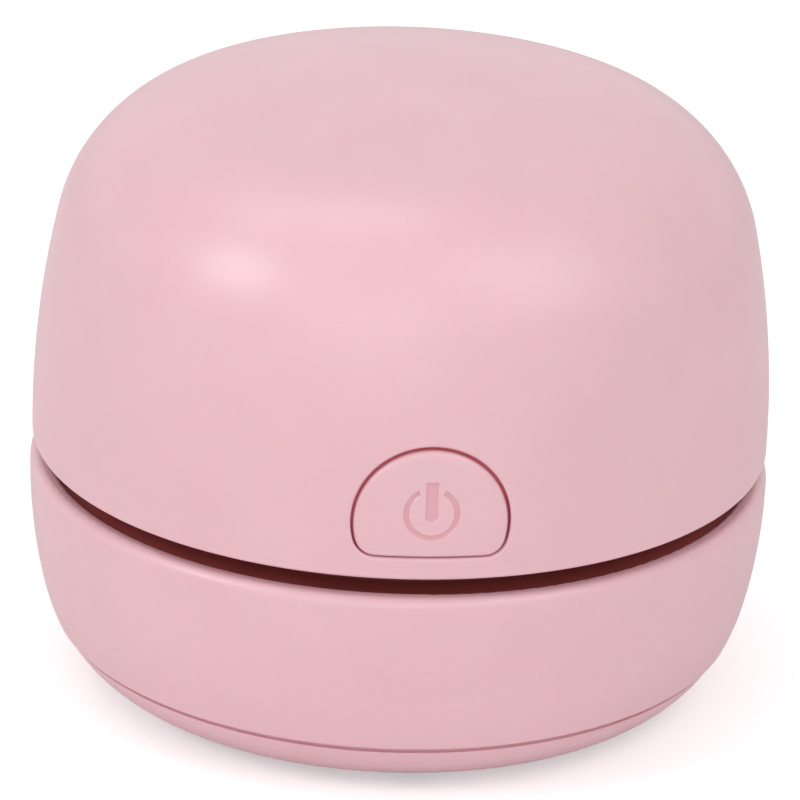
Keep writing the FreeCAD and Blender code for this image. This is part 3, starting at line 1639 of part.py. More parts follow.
def coil_point(radius, length, quarter, quarters):
    """Where a coil about the Z axis is after so many quarter turns, and which way it runs there."""
    angle = quarter * math.pi / 2
    rise = length / quarters
    along_x, along_y = math.cos(angle), math.sin(angle)
    point = FreeCAD.Vector(radius * along_x, radius * along_y, rise * quarter)
    way = FreeCAD.Vector(-radius * along_y, radius * along_x, rise / (math.pi / 2))
    return point, way.normalize()


def joined_arcs(start, start_way, end, end_way):
    """Two arcs that leave start one way, reach end another way and meet smoothly between."""
    span, ways = end - start, start_way + end_way
    across = 2 * (start_way.dot(end_way) - 1)
    slope = span.dot(ways)
    leg = (slope - math.sqrt(slope * slope - across * span.dot(span))) / across
    first_corner, last_corner = start + start_way * leg, end - end_way * leg
    joint = (first_corner + last_corner) * 0.5
    return [arc_under(start, first_corner, joint), arc_under(joint, last_corner, end)]


def arc_under(start, corner, end):
    """The arc from start to end whose tangents meet at the corner."""
    middle = (start + end) * 0.5
    share = (end - start).Length / 2 / (corner - start).Length
    top = middle + (corner - middle) * (share / (1 + share))
    return Part.Arc(start, top, end).toShape()


def make_button_spring():
    """A coil spring between the button's seat and the switch."""
    radius, wire = s.spring_radius.value, s.spring_wire.value
    front = spring_front().value
    length = -switch_front.value - wire - front
    quarters = round(4 * length / s.spring_pitch.value)
    arcs = []
    for quarter in range(quarters):
        start, start_way = coil_point(radius, length, quarter, quarters)
        end, end_way = coil_point(radius, length, quarter + 1, quarters)
        arcs.extend(joined_arcs(start, start_way, end, end_way))
    foot, foot_way = coil_point(radius, length, 0, quarters)
    section = Part.Wire(Part.makeCircle(wire, foot, foot_way))
    made = doc.addObject("Part::Feature", "spring_coil")
    made.Shape = Part.Wire(arcs).makePipeShell([section], True, False)
    made.Placement = FreeCAD.Placement(FreeCAD.Vector(0, front, switch_z.value), ALONG_Y)
    return made


def make_switch_plunger():
    return cylinder(
        "plunger", s.plunger_radius, s.plunger_length, (0, plunger_tip, switch_z), ALONG_Y
    )


def terminal_places():
    return ("left", -s.switch_pin_x), ("right", s.switch_pin_x)


def switch_pin_y():
    return (switch_back - switch_front) / 2


def make_power_switch():
    """A push switch with a hole for its plunger and two terminals on top."""
    half = s.switch_side / 2
    block = box(
        "switch_block",
        (-half, -switch_front, switch_z - half),
        (half, switch_back, switch_z + half),
    )
    pins = [
        box(
            f"switch_pin_{side}",
            (x - s.switch_pin_width / 2, switch_pin_y() - s.switch_pin_width, switch_z + half),
            (
                x + s.switch_pin_width / 2,
                switch_pin_y() + s.switch_pin_width,
                switch_z + half + s.switch_pin_height,
            ),
        )
        for side, x in terminal_places()
    ]
    depth = s.plunger_length - s.plunger_stand + s.button_travel + s.slide_gap
    hole = cylinder(
        "plunger_hole",
        s.plunger_radius + s.shaft_gap,
        depth + s.through,
        (0, -switch_front - s.through, switch_z),
        ALONG_Y,
    )
    return cut("switch_whole", fuse("switch_blank", block, *pins), hole)


# The battery and the board


def make_battery_cell():
    length = s.cell_length - s.cell_cap_height
    front = -(s.cell_length / 2)
    can = cell_cylinder("cell_can", s.cell_radius, front, front + length)
    cap = cell_cylinder("cell_cap", s.cell_cap_radius, front + length, s.cell_length / 2)
    return fuse("cell_whole", can, cap)


def make_battery_tabs():
    """A nickel strip over each end of the cell."""
    end = s.cell_length / 2
    left, right = cell_x - s.tab_half_width, cell_x + s.tab_half_width
    low, high = cell_z - s.tab_half_width, cell_z + s.tab_reach
    return group(
        "tab_pair",
        [
            box("tab_front", (left, -end - s.tab_thickness, low), (right, -end, high)),
            box("tab_rear", (left, end, low), (right, end + s.tab_thickness, high)),
        ],
    )


def make_battery_strap():
    """An arch over the cell, staked to the deck at both feet."""
    front, rear = strap_front, strap_front + s.strap_width
    inner = s.cell_radius + s.fit_gap
    outer = inner + s.strap_thickness
    arch = [
        cell_cylinder("strap_arch", outer, front, rear),
        box("strap_legs", (cell_x - outer, front, deck_top), (cell_x + outer, rear, cell_z)),
        box(
            "strap_feet",
            (cell_x - outer - s.strap_foot, front, deck_top),
            (cell_x + outer + s.strap_foot, rear, deck_top + s.strap_thickness),
        ),
    ]
    holes = [
        cell_cylinder("strap_bore", inner, front - s.through, rear + s.through),
        box(
            "strap_gap",
            (cell_x - inner, front - s.through, deck_under),
            (cell_x + inner, rear + s.through, cell_z),
        ),
    ]
    for side, x in strap_stakes():
        holes.append(
            cylinder(
                f"strap_hole_{side}",
                s.stake_radius,
                s.strap_thickness + s.through,
                (x, strap_middle(), deck_top),
            )
        )
    return cut("strap_moulding", fuse("strap_blank", *arch), *holes)


def make_control_board():
    """A board behind the motor, narrow enough to pass between the housing's rear bosses."""
    blank = box(
        "board_blank",
        (-s.board_half_width, s.board_front, board_under),
        (s.board_half_width, board_rear, board_top),
    )
    holes = [
        cylinder(
            f"board_screw_hole_{side}",
            s.board_screw_radius + s.fit_gap,
            s.board_thickness + s.through * 2,
            (x, s.board_post_y, board_under - s.through),
        )
        for side, x in (("left", -s.board_post_x), ("right", s.board_post_x))
    ]
    return cut("board_cut", blank, *holes)


def make_board_screws():
    """Two screws that point down into the board's posts."""
    screws = []
    for side, x in (("left", -s.board_post_x), ("right", s.board_post_x)):
        head = cylinder(
            f"board_screw_head_{side}",
            s.board_screw_head,
            s.board_screw_height,
            (x, s.board_post_y, board_top),
        )
        shank = cylinder(
            f"board_screw_shank_{side}",
            s.board_screw_radius,
            s.board_screw_length,
            (x, s.board_post_y, board_top - s.board_screw_length),
        )
        screws.append(fuse(f"board_screw_{side}", head, shank))
    return group("board_screw_set", screws)


def make_board_chips():
    """The charging chip and the inductor, in front of the socket."""
    middle = (s.board_front + board_rear) / 2
    chip_half, coil_half = s.chip_side / 2, s.inductor_side / 2
    return group(
        "chip_set",
        [
            box(
                "charging_chip",
                (s.board_post_x - chip_half, middle - chip_half, board_top),
                (s.board_post_x + chip_half, middle + chip_half, board_top + s.chip_height),
            ),
            box(
                "inductor",
                (-s.board_post_x - coil_half, middle - coil_half, board_top),
                (-s.board_post_x + coil_half, middle + coil_half, board_top + s.inductor_height),
            ),
        ],
    )


def make_charging_socket():
    """A small flat socket: a shell with a tongue inside, its mouth in the housing's wall."""
    rear = port_mouth - s.port_depth
    half_height = s.port_height / 2
    shell = cut(
        "socket_shell",
        lying_stadium("socket_outside", s.port_half_width, half_height, port_z, rear, port_mouth),
        lying_stadium(
            "socket_inside",
            s.port_half_width - s.port_wall,
            half_height - s.port_wall,
            port_z,
            rear + s.through,
            port_mouth + s.through,
        ),
    )
    tongue = box(
        "socket_tongue",
        (-s.tongue_half_width, rear, port_z - s.tongue_thickness / 2),
        (s.tongue_half_width, port_mouth - s.through, port_z + s.tongue_thickness / 2),
    )
    return fuse("socket_whole", shell, tongue)


def make_light_pipe():
    """A clear rod from the lamp to the outside, flush with the dome."""
    rear = s.body_radius + s.through
    start = lamp_rear + s.slide_gap
    rod = cylinder("pipe_rod", s.lamp_radius, rear - start, (s.lamp_x, start, port_z), ALONG_Y)
    flange = cylinder("pipe_flange", s.lamp_flange, s.through, (s.lamp_x, start, port_z), ALONG_Y)
    return common(
        "pipe_flush", fuse("pipe_whole", rod, flange), dome("pipe_outside", ZERO, housing_foot)
    )


def make_status_lamp():
    half = s.lamp_radius
    return box(
        "lamp_block",
        (s.lamp_x - half, lamp_rear - half * 2, board_top),
        (s.lamp_x + half, lamp_rear, port_z + half),
    )


def make_battery_leads():
    end = s.cell_length / 2 + s.tab_thickness
    solder_z = cell_z + s.tab_reach / 2
    board_y = s.lead_row_y
    over = cell_z + s.cell_radius + s.lead_rise
    return group(
        "battery_lead_pair",
        [
            lead(
                "battery_lead_rear",
                (cell_x, end, solder_z),
                (cell_x, board_y, solder_z),
                (-s.lead_outer_x, board_y, solder_z),
                (-s.lead_outer_x, board_y, board_top),
            ),
            lead(
                "battery_lead_front",
                (cell_x, -end, solder_z),
                (cell_x, -end - s.lead_rise, solder_z),
                (cell_x, -end - s.lead_rise, over),
                (cell_x, board_y, over),
                (-s.lead_inner_x, board_y, over),
                (-s.lead_inner_x, board_y, board_top),
            ),
        ],
    )


def make_switch_leads():
    pin_top = switch_z + s.switch_side / 2 + s.switch_pin_height
    low, high = pin_top + s.lead_rise, pin_top + s.lead_rise * 2
    return group(
        "switch_lead_pair",
        [
            lead(
                "switch_lead_right",
                (s.switch_pin_x, switch_pin_y(), pin_top),
                (s.switch_pin_x, switch_pin_y(), low),
                (s.switch_pin_x, -s.lead_row_y, low),
                (s.lead_side_x, -s.lead_row_y, low),
                (s.lead_side_x, s.lead_row_y, low),
                (s.lead_outer_x, s.lead_row_y, low),
                (s.lead_outer_x, s.lead_row_y, board_top),
            ),
            lead(
                "switch_lead_left",
                (-s.switch_pin_x, switch_pin_y(), pin_top),
                (-s.switch_pin_x, switch_pin_y(), high),
                (-s.switch_pin_x, -s.lead_row_y, high),
                (s.lead_side_x, -s.lead_row_y, high),
                (s.lead_side_x, s.lead_row_y, high),
                (s.lead_inner_x, s.lead_row_y, high),
                (s.lead_inner_x, s.lead_row_y, board_top),
            ),
        ],
    )


def make_motor_leads():
    """From the rear of each terminal, just over the end cap, to the board's front."""
    x = s.commutator_radius + s.shaft_gap + s.carbon_depth - s.arm_thickness / 2
    over = motor_top + s.motor_cap + s.slide_gap + s.wire_radius
    pair = []
    for side, where in (("left", -x), ("right", x)):
        pair.append(
            lead(
                f"motor_lead_{side}",
                (where, s.carbon_width / 2, over),
                (where, s.motor_lead_y, over),
                (where, s.motor_lead_y, board_top),
            )
        )
    return group("motor_lead_pair", pair)


node("bin_shell", make_bin_shell())
node("bin_collar", make_bin_collar())
node("base_plate", make_base_plate())
node("base_screws", make_base_screws())
node("foot_pads", make_foot_pads())
node("inlet_duct", make_inlet_duct())
bristles = node("bristle_tufts", make_tufts())
node("brush_bars", make_brush_bars(bristles))
node("fan_housing", make_fan_housing())
node("fan_screws", make_fan_screws())
node("bin_seal", make_bin_seal())
node("filter_frame", make_filter_frame())
node("filter_pleats", make_filter_pleats())
node("chassis", make_chassis())
node("upper_housing", make_upper_housing())
node("housing_screws", make_housing_screws())
node("motor_can", make_motor_can())
carbon_brushes = node("motor_brushes", make_motor_brushes())
node("motor_end_cap", make_motor_end_cap(carbon_brushes))
node("motor_bushes", make_bearing_bushes())
node("motor_magnets", make_magnets())
node("motor_screws", make_motor_screws())
node("motor_shaft", make_motor_shaft())
iron = node("armature_core", make_armature_core())
node("armature_windings", make_armature_windings(iron))
node("commutator", make_commutator())
node("impeller", make_impeller())
node("power_button", make_power_button())
node("button_spring", make_button_spring())
node("switch_plunger", make_switch_plunger())
node("power_switch", make_power_switch())
node("battery_cell", make_battery_cell())
node("battery_tabs", make_battery_tabs())
node("battery_strap", make_battery_strap())
node("control_board", make_control_board())
node("board_screws", make_board_screws())
node("board_chips", make_board_chips())
node("charging_socket", make_charging_socket())
node("status_lamp", make_status_lamp())
node("light_pipe", make_light_pipe())
node("battery_leads", make_battery_leads())
node("switch_leads", make_switch_leads())
node("motor_leads", make_motor_leads())

doc.recompute()
for thing in doc.Objects:
    broken = {"Invalid", "Error"} & set(thing.State)
    assert not broken, f"{thing.Name} did not compute"
for label, thing in nodes.items():
    shape = thing.Shape
    assert not shape.isNull() and shape.isValid() and shape.Solids, f"{label} has no valid solid"
os.makedirs("parts", exist_ok=True)
for label, thing in nodes.items():
    thing.Shape.exportStep(f"parts/{label}.step")
    print(label, len(thing.Shape.Solids), "solids", round(thing.Shape.Volume), "mm3")
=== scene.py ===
import json
import math

import bmesh
import bpy
from mathutils import Matrix, Vector


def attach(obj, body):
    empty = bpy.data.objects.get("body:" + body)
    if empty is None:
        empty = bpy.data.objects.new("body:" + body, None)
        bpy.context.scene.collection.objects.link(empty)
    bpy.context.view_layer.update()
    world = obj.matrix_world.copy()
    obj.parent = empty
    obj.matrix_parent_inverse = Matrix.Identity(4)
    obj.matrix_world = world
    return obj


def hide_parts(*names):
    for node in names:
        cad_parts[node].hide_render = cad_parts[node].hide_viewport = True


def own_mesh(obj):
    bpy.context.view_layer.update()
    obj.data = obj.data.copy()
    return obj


# Looks of the desktop vacuum cleaner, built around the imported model, in metres

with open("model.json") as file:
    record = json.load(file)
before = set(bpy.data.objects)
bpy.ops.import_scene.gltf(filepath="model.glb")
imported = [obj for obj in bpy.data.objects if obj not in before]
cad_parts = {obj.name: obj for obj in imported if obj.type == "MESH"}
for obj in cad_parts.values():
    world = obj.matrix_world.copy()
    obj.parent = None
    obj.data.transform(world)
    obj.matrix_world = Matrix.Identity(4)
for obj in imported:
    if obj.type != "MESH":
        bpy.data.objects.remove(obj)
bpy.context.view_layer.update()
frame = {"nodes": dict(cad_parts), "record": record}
nodes = frame["nodes"]
MM = 0.001
UP = Vector((0, 0, 1))

# Sizes in millimetres, as the part's source has them
BODY_RADIUS = 42.0
HOUSING_FOOT = 28.45
HOUSING_WIDEST = 30.6
HOUSING_TOP = 71.6
HOUSING_WALL = 2.0
EDGE_ROUND = 0.5
SIDE_ARC = 110.0
SHOULDER_ARC = 18.7
CROWN_ARC = 110.0
DECK_TOP = 30.8
BUTTON_Z = 35.0
BUTTON_RADIUS = 8.3
BUTTON_DROP = 3.7
BUTTON_CORNER = 2.2
BUTTON_GAP = 0.3
BUTTON_FACE = 1.8
BUTTON_WALL = 1.4
BUTTON_FLANGE = 1.3
COLLAR_WALL = 1.2
COLLAR_END = -37.6
FLANGE_FRONT = -37.55
FLANGE_BACK = -36.55
FLANGE_TRIM = 31.1
STEM_RADIUS = 1.9
STEM_Z = 38.5
STEM_END = -35.2
SEAT_RADIUS = 3.1
SEAT_END = -39.3
SPRING_RADIUS = 2.6
SPRING_WIRE = 0.2
SPRING_FRONT = -39.1
SPRING_BACK = -33.2
SPRING_TURNS = 5.25
SIGN_Z = 36.15
SIGN_RADIUS = 2.74
SIGN_STROKE = 0.52
SIGN_BAR_WIDTH = 1.3
SIGN_BAR_TOP = 3.5
SIGN_BAR_DROP = 0.9
SIGN_OPENING = 30.0
SIGN_DEPTH = 0.2
PORT_Z = 36.43
PORT_HALF_WIDTH = 4.75
PORT_HALF_HEIGHT = 1.91
LAMP_X = 8.2
LAMP_HOLE = 1.0
BOSS_CIRCLE = 31.0
BOSS_ANGLE = 30.0
BOSS_RADIUS = 2.8
BOSS_HOLE = 1.1
BOSS_HOLE_DEPTH = 6.7
TUFT_ROWS = (-11.8, 11.8)
TUFTS_PER_ROW = 13
TUFT_SPACING = 3.0
TUFT_RADIUS = 0.9
TUFT_ROOT = 5.3
TUFT_TIP = 0.2
POLES = 3
POLE_START = 90.0
POLE_HALF_WIDTH = 1.3
COIL_INNER = 3.3
COIL_OUTER = 7.4
COIL_THICKNESS = 1.5
CORE_FOOT = 37.9
CORE_TOP = 49.9
CLOTH_RADIUS = 31.05
CLOTH_LOW = 17.3
CLOTH_HIGH = 20.1
CLOTH_FOLDS = 26

# Small radii that a moulded edge has, how far the cap hangs in its hole, the play between its skirt and the
# hole, and how deep the groove round it is
HOLE_ROUND = 0.35
CAP_ROUND = 0.45
CAP_SAG = 0.15
CAP_Z = BUTTON_Z - CAP_SAG
SKIRT_PLAY = 0.05
SKIRT_GROWTH = BUTTON_GAP - SKIRT_PLAY
GROOVE_DEPTH = 1.0

# The patches of the dome's skin that the holes are led in from: half width, then low and high or half height
BUTTON_OPENING = (12.5, 29.8, 47.0)
PORT_OPENING = (6.0, 4.0)
LAMP_OPENING = (1.7, 2.2)

# Values that only the looks have, with lengths in millimetres
SAME_SPOT = 0.0001
ROUND_STEPS = 4
HOUSING_STEPS = 384
BOSS_STEPS = 24
WIRE_SIDES = 6
FLOOR_DROP = -0.05
EDGE_WEAR = 0.12
COIL_WIRE = 0.22
COIL_CORNER = 0.3
BRISTLES_PER_TUFT = 19
BRISTLE_RADIUS = 0.1
BRISTLE_SPLAY = 0.3
CLOTH_THICKNESS = 0.35
CLOTH_SHARPNESS = 0.985
CLOTH_WANDER = 0.12
CLOTH_SHORTEST = 2.0
SIGN_DEEPENING = 0.27
SIGN_SOFTNESS = 0.2
CAP_DIRECTIONS = 256
SIGN_RINGS = 50
SIGN_REACH = 3.75

# The housing's profile: the centres of its three arcs
SIDE_X = BODY_RADIUS - SIDE_ARC
CROWN_Z = HOUSING_TOP - CROWN_ARC
CREST_X = 21.122012
CREST_Z = 50.423142

# Over this height a face that points up is always on the dome's outside
CROWN_START = 68.0


# Shader nodes and materials


def linear(colour):
    """An sRGB colour such as "e8b9c3" as linear red, green, blue and full alpha."""
    levels = [int(colour[start:start + 2], 16) / 255 for start in (0, 2, 4)]
    return [v / 12.92 if v <= 0.04045 else ((v + 0.055) / 1.055) ** 2.4 for v in levels] + [1.0]


def add(tree, kind, inputs=None, **settings):
    """Adds a shader node with its settings, and gives its sockets a value or the socket that feeds them."""
    made = tree.nodes.new(kind)
    for name, value in settings.items():
        setattr(made, name, value)
    for name, value in (inputs or {}).items():
        if isinstance(value, bpy.types.NodeSocket):
            tree.links.new(value, made.inputs[name])
        else:
            made.inputs[name].default_value = value
    return made


def new_material(name):
    made = bpy.data.materials.new(name)
    made.use_nodes = True
    made.node_tree.nodes.clear()
    return made, made.node_tree


def surface(name, tones, patch, grain, roughness, relief, stretch=(1, 1, 1), print_and_shade_colour=None, **sockets):
    """A finish that wanders between two tones in patches, over a fine grain; patch, grain and relief in mm.
    A deeper colour may be given. It is mixed in as far as the mesh's own attribute says: a printed tint on
    the power sign, and painted shade in the button's groove, where the attribute is 1."""
    made, tree = new_material(name)
    place = add(tree, "ShaderNodeTexCoord").outputs["Object"]
    drawn = add(tree, "ShaderNodeMapping", {"Vector": place, "Scale": stretch}).outputs["Vector"]
    wander = add(tree, "ShaderNodeTexNoise", {"Vector": drawn, "Scale": 1 / (patch * MM), "Detail": 2.0})
    tone = add(tree, "ShaderNodeValToRGB", {"Fac": wander.outputs["Fac"]})
    for element, position, colour in zip(tone.color_ramp.elements, (0.3, 0.7), tones):
        element.position = position
        element.color = linear(colour)
    fine = add(tree, "ShaderNodeTexNoise", {"Vector": drawn, "Scale": 1 / (grain * MM), "Detail": 3.0})
    low, high = roughness
    dull = add(tree, "ShaderNodeMapRange", {"Value": fine.outputs["Fac"], "To Min": low, "To Max": high})
    worn = add(tree, "ShaderNodeBevel", {"Radius": EDGE_WEAR * MM}, samples=4)
    bump = add(
        tree,
        "ShaderNodeBump",
        {"Height": fine.outputs["Fac"], "Distance": relief * MM, "Normal": worn.outputs["Normal"]},
    )
    colour = tone.outputs["Color"]
    # The deeper colour is a printed tint on the power sign and painted shade in the button's groove
    if print_and_shade_colour:
        sign_print_and_groove_shade = add(tree, "ShaderNodeAttribute", attribute_name="sign_print_and_groove_shade")
        tint = add(
            tree,
            "ShaderNodeMix",
            {"Factor": sign_print_and_groove_shade.outputs["Fac"], "A": colour, "B": linear(print_and_shade_colour)},
            data_type="RGBA",
        )
        colour = tint.outputs["Result"]
    shader = add(
        tree,
        "ShaderNodeBsdfPrincipled",
        {
            "Base Color": colour,
            "Roughness": dull.outputs["Result"],
            "Normal": bump.outputs["Normal"],
            **{socket.replace("_", " "): value for socket, value in sockets.items()},
        },
    )
    add(tree, "ShaderNodeOutputMaterial", {"Surface": shader.outputs["BSDF"]})
    return made


# Light that enters the pink plastic comes out again about a millimetre away, and redder
SKIN_DEEP = {
    "Subsurface_Weight": 0.3,
    "Subsurface_Radius": (1.0, 0.35, 0.4),
    "Subsurface_Scale": 1.2 * MM,
}

FINISHES = {
    # Moulded ABS, spark-eroded mould: a satin skin with a grain far finer than the render shows
    "housing_abs": surface(
        "satin_pink_abs", ("e5b8c0", "e8bcc4"), 14, 0.5, (0.3, 0.37), 0.004, IOR=1.54, **SKIN_DEEP
    ),
    # The button's cap: the same moulding. The pink deepens a little in the power sign's recess, a printed
    # tint, and much more in the groove round the cap, as painted shade for the light that goes to and fro
    # between two pink walls
    "button_abs": surface(
        "satin_pink_abs_with_sign_and_painted_groove_shade",
        ("e5b8c0", "e8bcc4"),
        14,
        0.5,
        (0.3, 0.37),
        0.004,
        print_and_shade_colour="dc6c7c",
        IOR=1.54,
        **SKIN_DEEP,
    ),
    # The same pink ABS inside the machine, given a deep rose as painted shade so that the seam and openings
    # look shaded, and left duller
    "inner_abs": surface("pink_abs_with_painted_shade", ("a04d4b", "a85350"), 9, 0.4, (0.48, 0.58), 0.006, IOR=1.54),
    # Moulded rubber: matt, with a chalky bloom
    "soft_rubber": surface("matt_black_rubber", ("1b1b1c", "262527"), 2, 0.25, (0.7, 0.85), 0.02, IOR=1.52),
    # Moulded silicone: soft and slightly tacky
    "seal_rubber": surface("rose_silicone", ("8a5558", "935c60"), 3, 0.3, (0.5, 0.62), 0.01, IOR=1.41),
    # Zinc plate: bright, with a faint yellow passivation in patches
    "zinc_steel": surface(
        "zinc_plated_steel", ("b9bcc0", "c9c8bf"), 1.2, 0.15, (0.25, 0.4), 0.004, Metallic=1.0
    ),
    # Drawn nylon: smooth dark filaments with a light streak along each
    "nylon_bristle": surface(
        "drawn_nylon", ("1d1c1f", "353338"), 0.5, 0.2, (0.3, 0.45), 0.01, (1, 1, 0.1), IOR=1.53
    ),
    # Undyed ABS: off-white and satin
    "white_abs": surface("natural_white_abs", ("dcdad2", "e6e4dd"), 8, 0.4, (0.4, 0.5), 0.005, IOR=1.54),
    # Drawn and plated steel: fine rings run round the can
    "motor_steel": surface(
        "plated_motor_steel",
        ("a9abad", "bcbdbd"),
        4,
        0.2,
        (0.28, 0.42),
        0.004,
        (0.15, 0.15, 1),
        Metallic=1.0,
    ),
    # Glass-filled nylon: dark, with a mottled dull skin
    "black_nylon": surface(
        "glass_filled_nylon", ("1c1c1d", "292a2c"), 1.5, 0.3, (0.5, 0.7), 0.015, IOR=1.53
    ),
    # Sintered bronze: a grainy brown metal, dull with oil
    "sintered_bronze": surface(
        "sintered_bronze", ("8a6a42", "a5814f"), 0.6, 0.12, (0.4, 0.6), 0.02, Metallic=1.0
    ),
    # Sintered ferrite: charcoal and finely pitted
    "ferrite": surface("sintered_ferrite", ("2c2d30", "3c3d41"), 1.0, 0.2, (0.55, 0.75), 0.02),
    # A stack of stamped sheets: thin lines across the stack
    "lamination_steel": surface(
        "stamped_steel_stack",
        ("54565b", "8a8c90"),
        0.9,
        0.5,
        (0.35, 0.55),
        0.05,
        (0.05, 0.05, 1),
        Metallic=1.0,
    ),
    # Enamelled wire: copper under a clear varnish
    "copper_wire": surface(
        "enamelled_copper_wire",
        ("a4502a", "c06a38"),
        1.5,
        0.3,
        (0.2, 0.32),
        0.01,
        Metallic=1.0,
        Coat_Weight=0.6,
    ),
    # Turned copper: fine rings and a darker track where the brushes run
    "copper": surface(
        "turned_copper", ("a8613c", "c98a5e"), 0.8, 0.15, (0.22, 0.4), 0.006, (0.1, 0.1, 1), Metallic=1.0
    ),
    # Ground steel: bright with fine rings round the shaft
    "ground_steel": surface(
        "ground_steel", ("b6b8bb", "c9cacb"), 3, 0.12, (0.15, 0.28), 0.003, (0.1, 0.1, 1), Metallic=1.0
    ),
    # Drawn spring wire: grey and faintly scored along its length
    "spring_steel": surface(
        "drawn_spring_wire", ("8f9194", "a9abae"), 0.8, 0.15, (0.25, 0.4), 0.006, Metallic=1.0
    ),
    # Shrunk PVC sleeve: glossy with slow ripples
    "cell_sleeve": surface(
        "blue_shrink_sleeve", ("1c4f96", "2359a6"), 6, 2.5, (0.16, 0.24), 0.03, IOR=1.54
    ),
    # Rolled nickel: bright strip with rolling lines
    "nickel": surface(
        "rolled_nickel", ("b9b4aa", "cdc8bd"), 2, 0.2, (0.2, 0.34), 0.004, (1, 0.1, 1), Metallic=1.0
    ),
    # Moulded resin: dark grey, fine and dull
    "chip_resin": surface("moulded_resin", ("222325", "2e2f31"), 1.2, 0.15, (0.5, 0.65), 0.01, IOR=1.55),
    # Clear resin that has gone a little milky
    "lamp_resin": surface(
        "milky_clear_resin",
        ("e6e6e0", "f0f0ea"),
        2,
        0.3,
        (0.12, 0.2),
        0.004,
        IOR=1.5,
        Transmission_Weight=0.6,
    ),
    # Extruded PVC: red, satin, with faint lengthwise streaks
    "wire_sleeve": surface("red_lead_sleeve", ("a51f22", "b92a2b"), 2, 0.4, (0.3, 0.42), 0.008, IOR=1.53),
}


def board_finish():
    """Green solder mask over straight copper tracks, with the weave of the glass cloth just showing."""
    made, tree = new_material("green_solder_mask")
    place = add(tree, "ShaderNodeTexCoord").outputs["Object"]
    tracks = add(
        tree,
        "ShaderNodeTexBrick",
        {
            "Vector": place,
            "Color1": linear("1d6b3a"),
            "Color2": linear("217241"),
            "Mortar": linear("2f8a52"),
            "Scale": 1.0,
            "Mortar Size": 0.12 * MM,
            "Brick Width": 4.2 * MM,
            "Row Height": 1.4 * MM,
        },
    )
    weave = add(tree, "ShaderNodeTexWave", {"Vector": place, "Scale": 1 / (1.6 * MM), "Distortion": 0.4})
    bump = add(tree, "ShaderNodeBump", {"Height": tracks.outputs["Fac"], "Distance": 0.03 * MM})
    dull = add(tree, "ShaderNodeMapRange", {"Value": weave.outputs["Fac"], "To Min": 0.25, "To Max": 0.34})
    shader = add(
        tree,
        "ShaderNodeBsdfPrincipled",
        {
            "Base Color": tracks.outputs["Color"],
            "Roughness": dull.outputs["Result"],
            "Normal": bump.outputs["Normal"],
            "IOR": 1.55,
        },
    )
    add(tree, "ShaderNodeOutputMaterial", {"Surface": shader.outputs["BSDF"]})
    return made


def cloth_finish():
    """Non-woven polyester: matt white felt with crossing fibres and a trace of grey dust."""
    made, tree = new_material("non_woven_polyester")
    place = add(tree, "ShaderNodeTexCoord").outputs["Object"]
    dust = add(tree, "ShaderNodeTexNoise", {"Vector": place, "Scale": 1 / (9 * MM), "Detail": 4.0})
    tone = add(tree, "ShaderNodeValToRGB", {"Fac": dust.outputs["Fac"]})
    for element, position, colour in zip(tone.color_ramp.elements, (0.32, 0.68), ("cfccc4", "e6e4de")):
        element.position = position
        element.color = linear(colour)
    fibres = add(
        tree,
        "ShaderNodeTexVoronoi",
        {"Vector": place, "Scale": 1 / (0.45 * MM), "Randomness": 1.0},
        feature="DISTANCE_TO_EDGE",
    )
    bump = add(tree, "ShaderNodeBump", {"Height": fibres.outputs["Distance"], "Distance": 0.12 * MM})
    dull = add(tree, "ShaderNodeMapRange", {"Value": dust.outputs["Fac"], "To Min": 0.85, "To Max": 0.95})
    shader = add(
        tree,
        "ShaderNodeBsdfPrincipled",
        {
            "Base Color": tone.outputs["Color"],
            "Roughness": dull.outputs["Result"],
            "Normal": bump.outputs["Normal"],
            "Sheen Weight": 0.25,
        },
    )
    add(tree, "ShaderNodeOutputMaterial", {"Surface": shader.outputs["BSDF"]})
    return made


FINISHES["board_laminate"] = board_finish()
FINISHES["filter_cloth"] = cloth_finish()
slot_of = {row["node"]: row["material_slot"] for row in frame["record"]["subparts"]}
for label, thing in nodes.items():
    for place in thing.material_slots:
        place.material = FINISHES[slot_of[label]]


# Making pieces


def finish_piece(name, mesh, body, stands_for, slot, smooth=35, shine=None, finish=None):
    """Turns a mesh in millimetres into a finished piece that rides on a body in place of a node."""
    bmesh.ops.transform(mesh, matrix=Matrix.Scale(MM, 4), verts=mesh.verts)
    data = bpy.data.meshes.new(name)
    mesh.to_mesh(data)
    mesh.free()
    data.shade_smooth()
    data.set_sharp_from_angle(angle=math.radians(smooth))
    if shine is not None:
        data.normals_split_custom_set(shine(data))
    data.materials.append(FINISHES[finish or slot])
    piece = bpy.data.objects.new(name, data)
    bpy.context.scene.collection.objects.link(piece)
    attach(piece, body)
    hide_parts(stands_for)
    return piece


def next_ring(mesh, ring, spots):
    """Extrudes a closed ring of vertices and moves the new ring's vertices to their spots."""
    edges = [mesh.edges.get(pair) for pair in zip(ring, ring[1:] + ring[:1])]
    made = bmesh.ops.extrude_edge_only(mesh, edges=edges)["geom"]
    fresh = {vert for vert in made if isinstance(vert, bmesh.types.BMVert)}
    moved = []
    for vert, spot in zip(ring, spots):
        twin = next(edge.other_vert(vert) for edge in vert.link_edges if edge.other_vert(vert) in fresh)
        twin.co = spot
        moved.append(twin)
    return moved


def ring_edges(mesh, ring):
    return [mesh.edges.get(pair) for pair in zip(ring, ring[1:] + ring[:1])]


def in_order(edges):
    """The vertices of a closed loop of edges, in order."""
    left = set(edges)
    first = edges[0]
    left.remove(first)
    ring = list(first.verts)
    while left:
        follow = next(edge for edge in ring[-1].link_edges if edge in left)
        left.remove(follow)
        ring.append(follow.other_vert(ring[-1]))
    return ring[:-1]


# The dome's surface


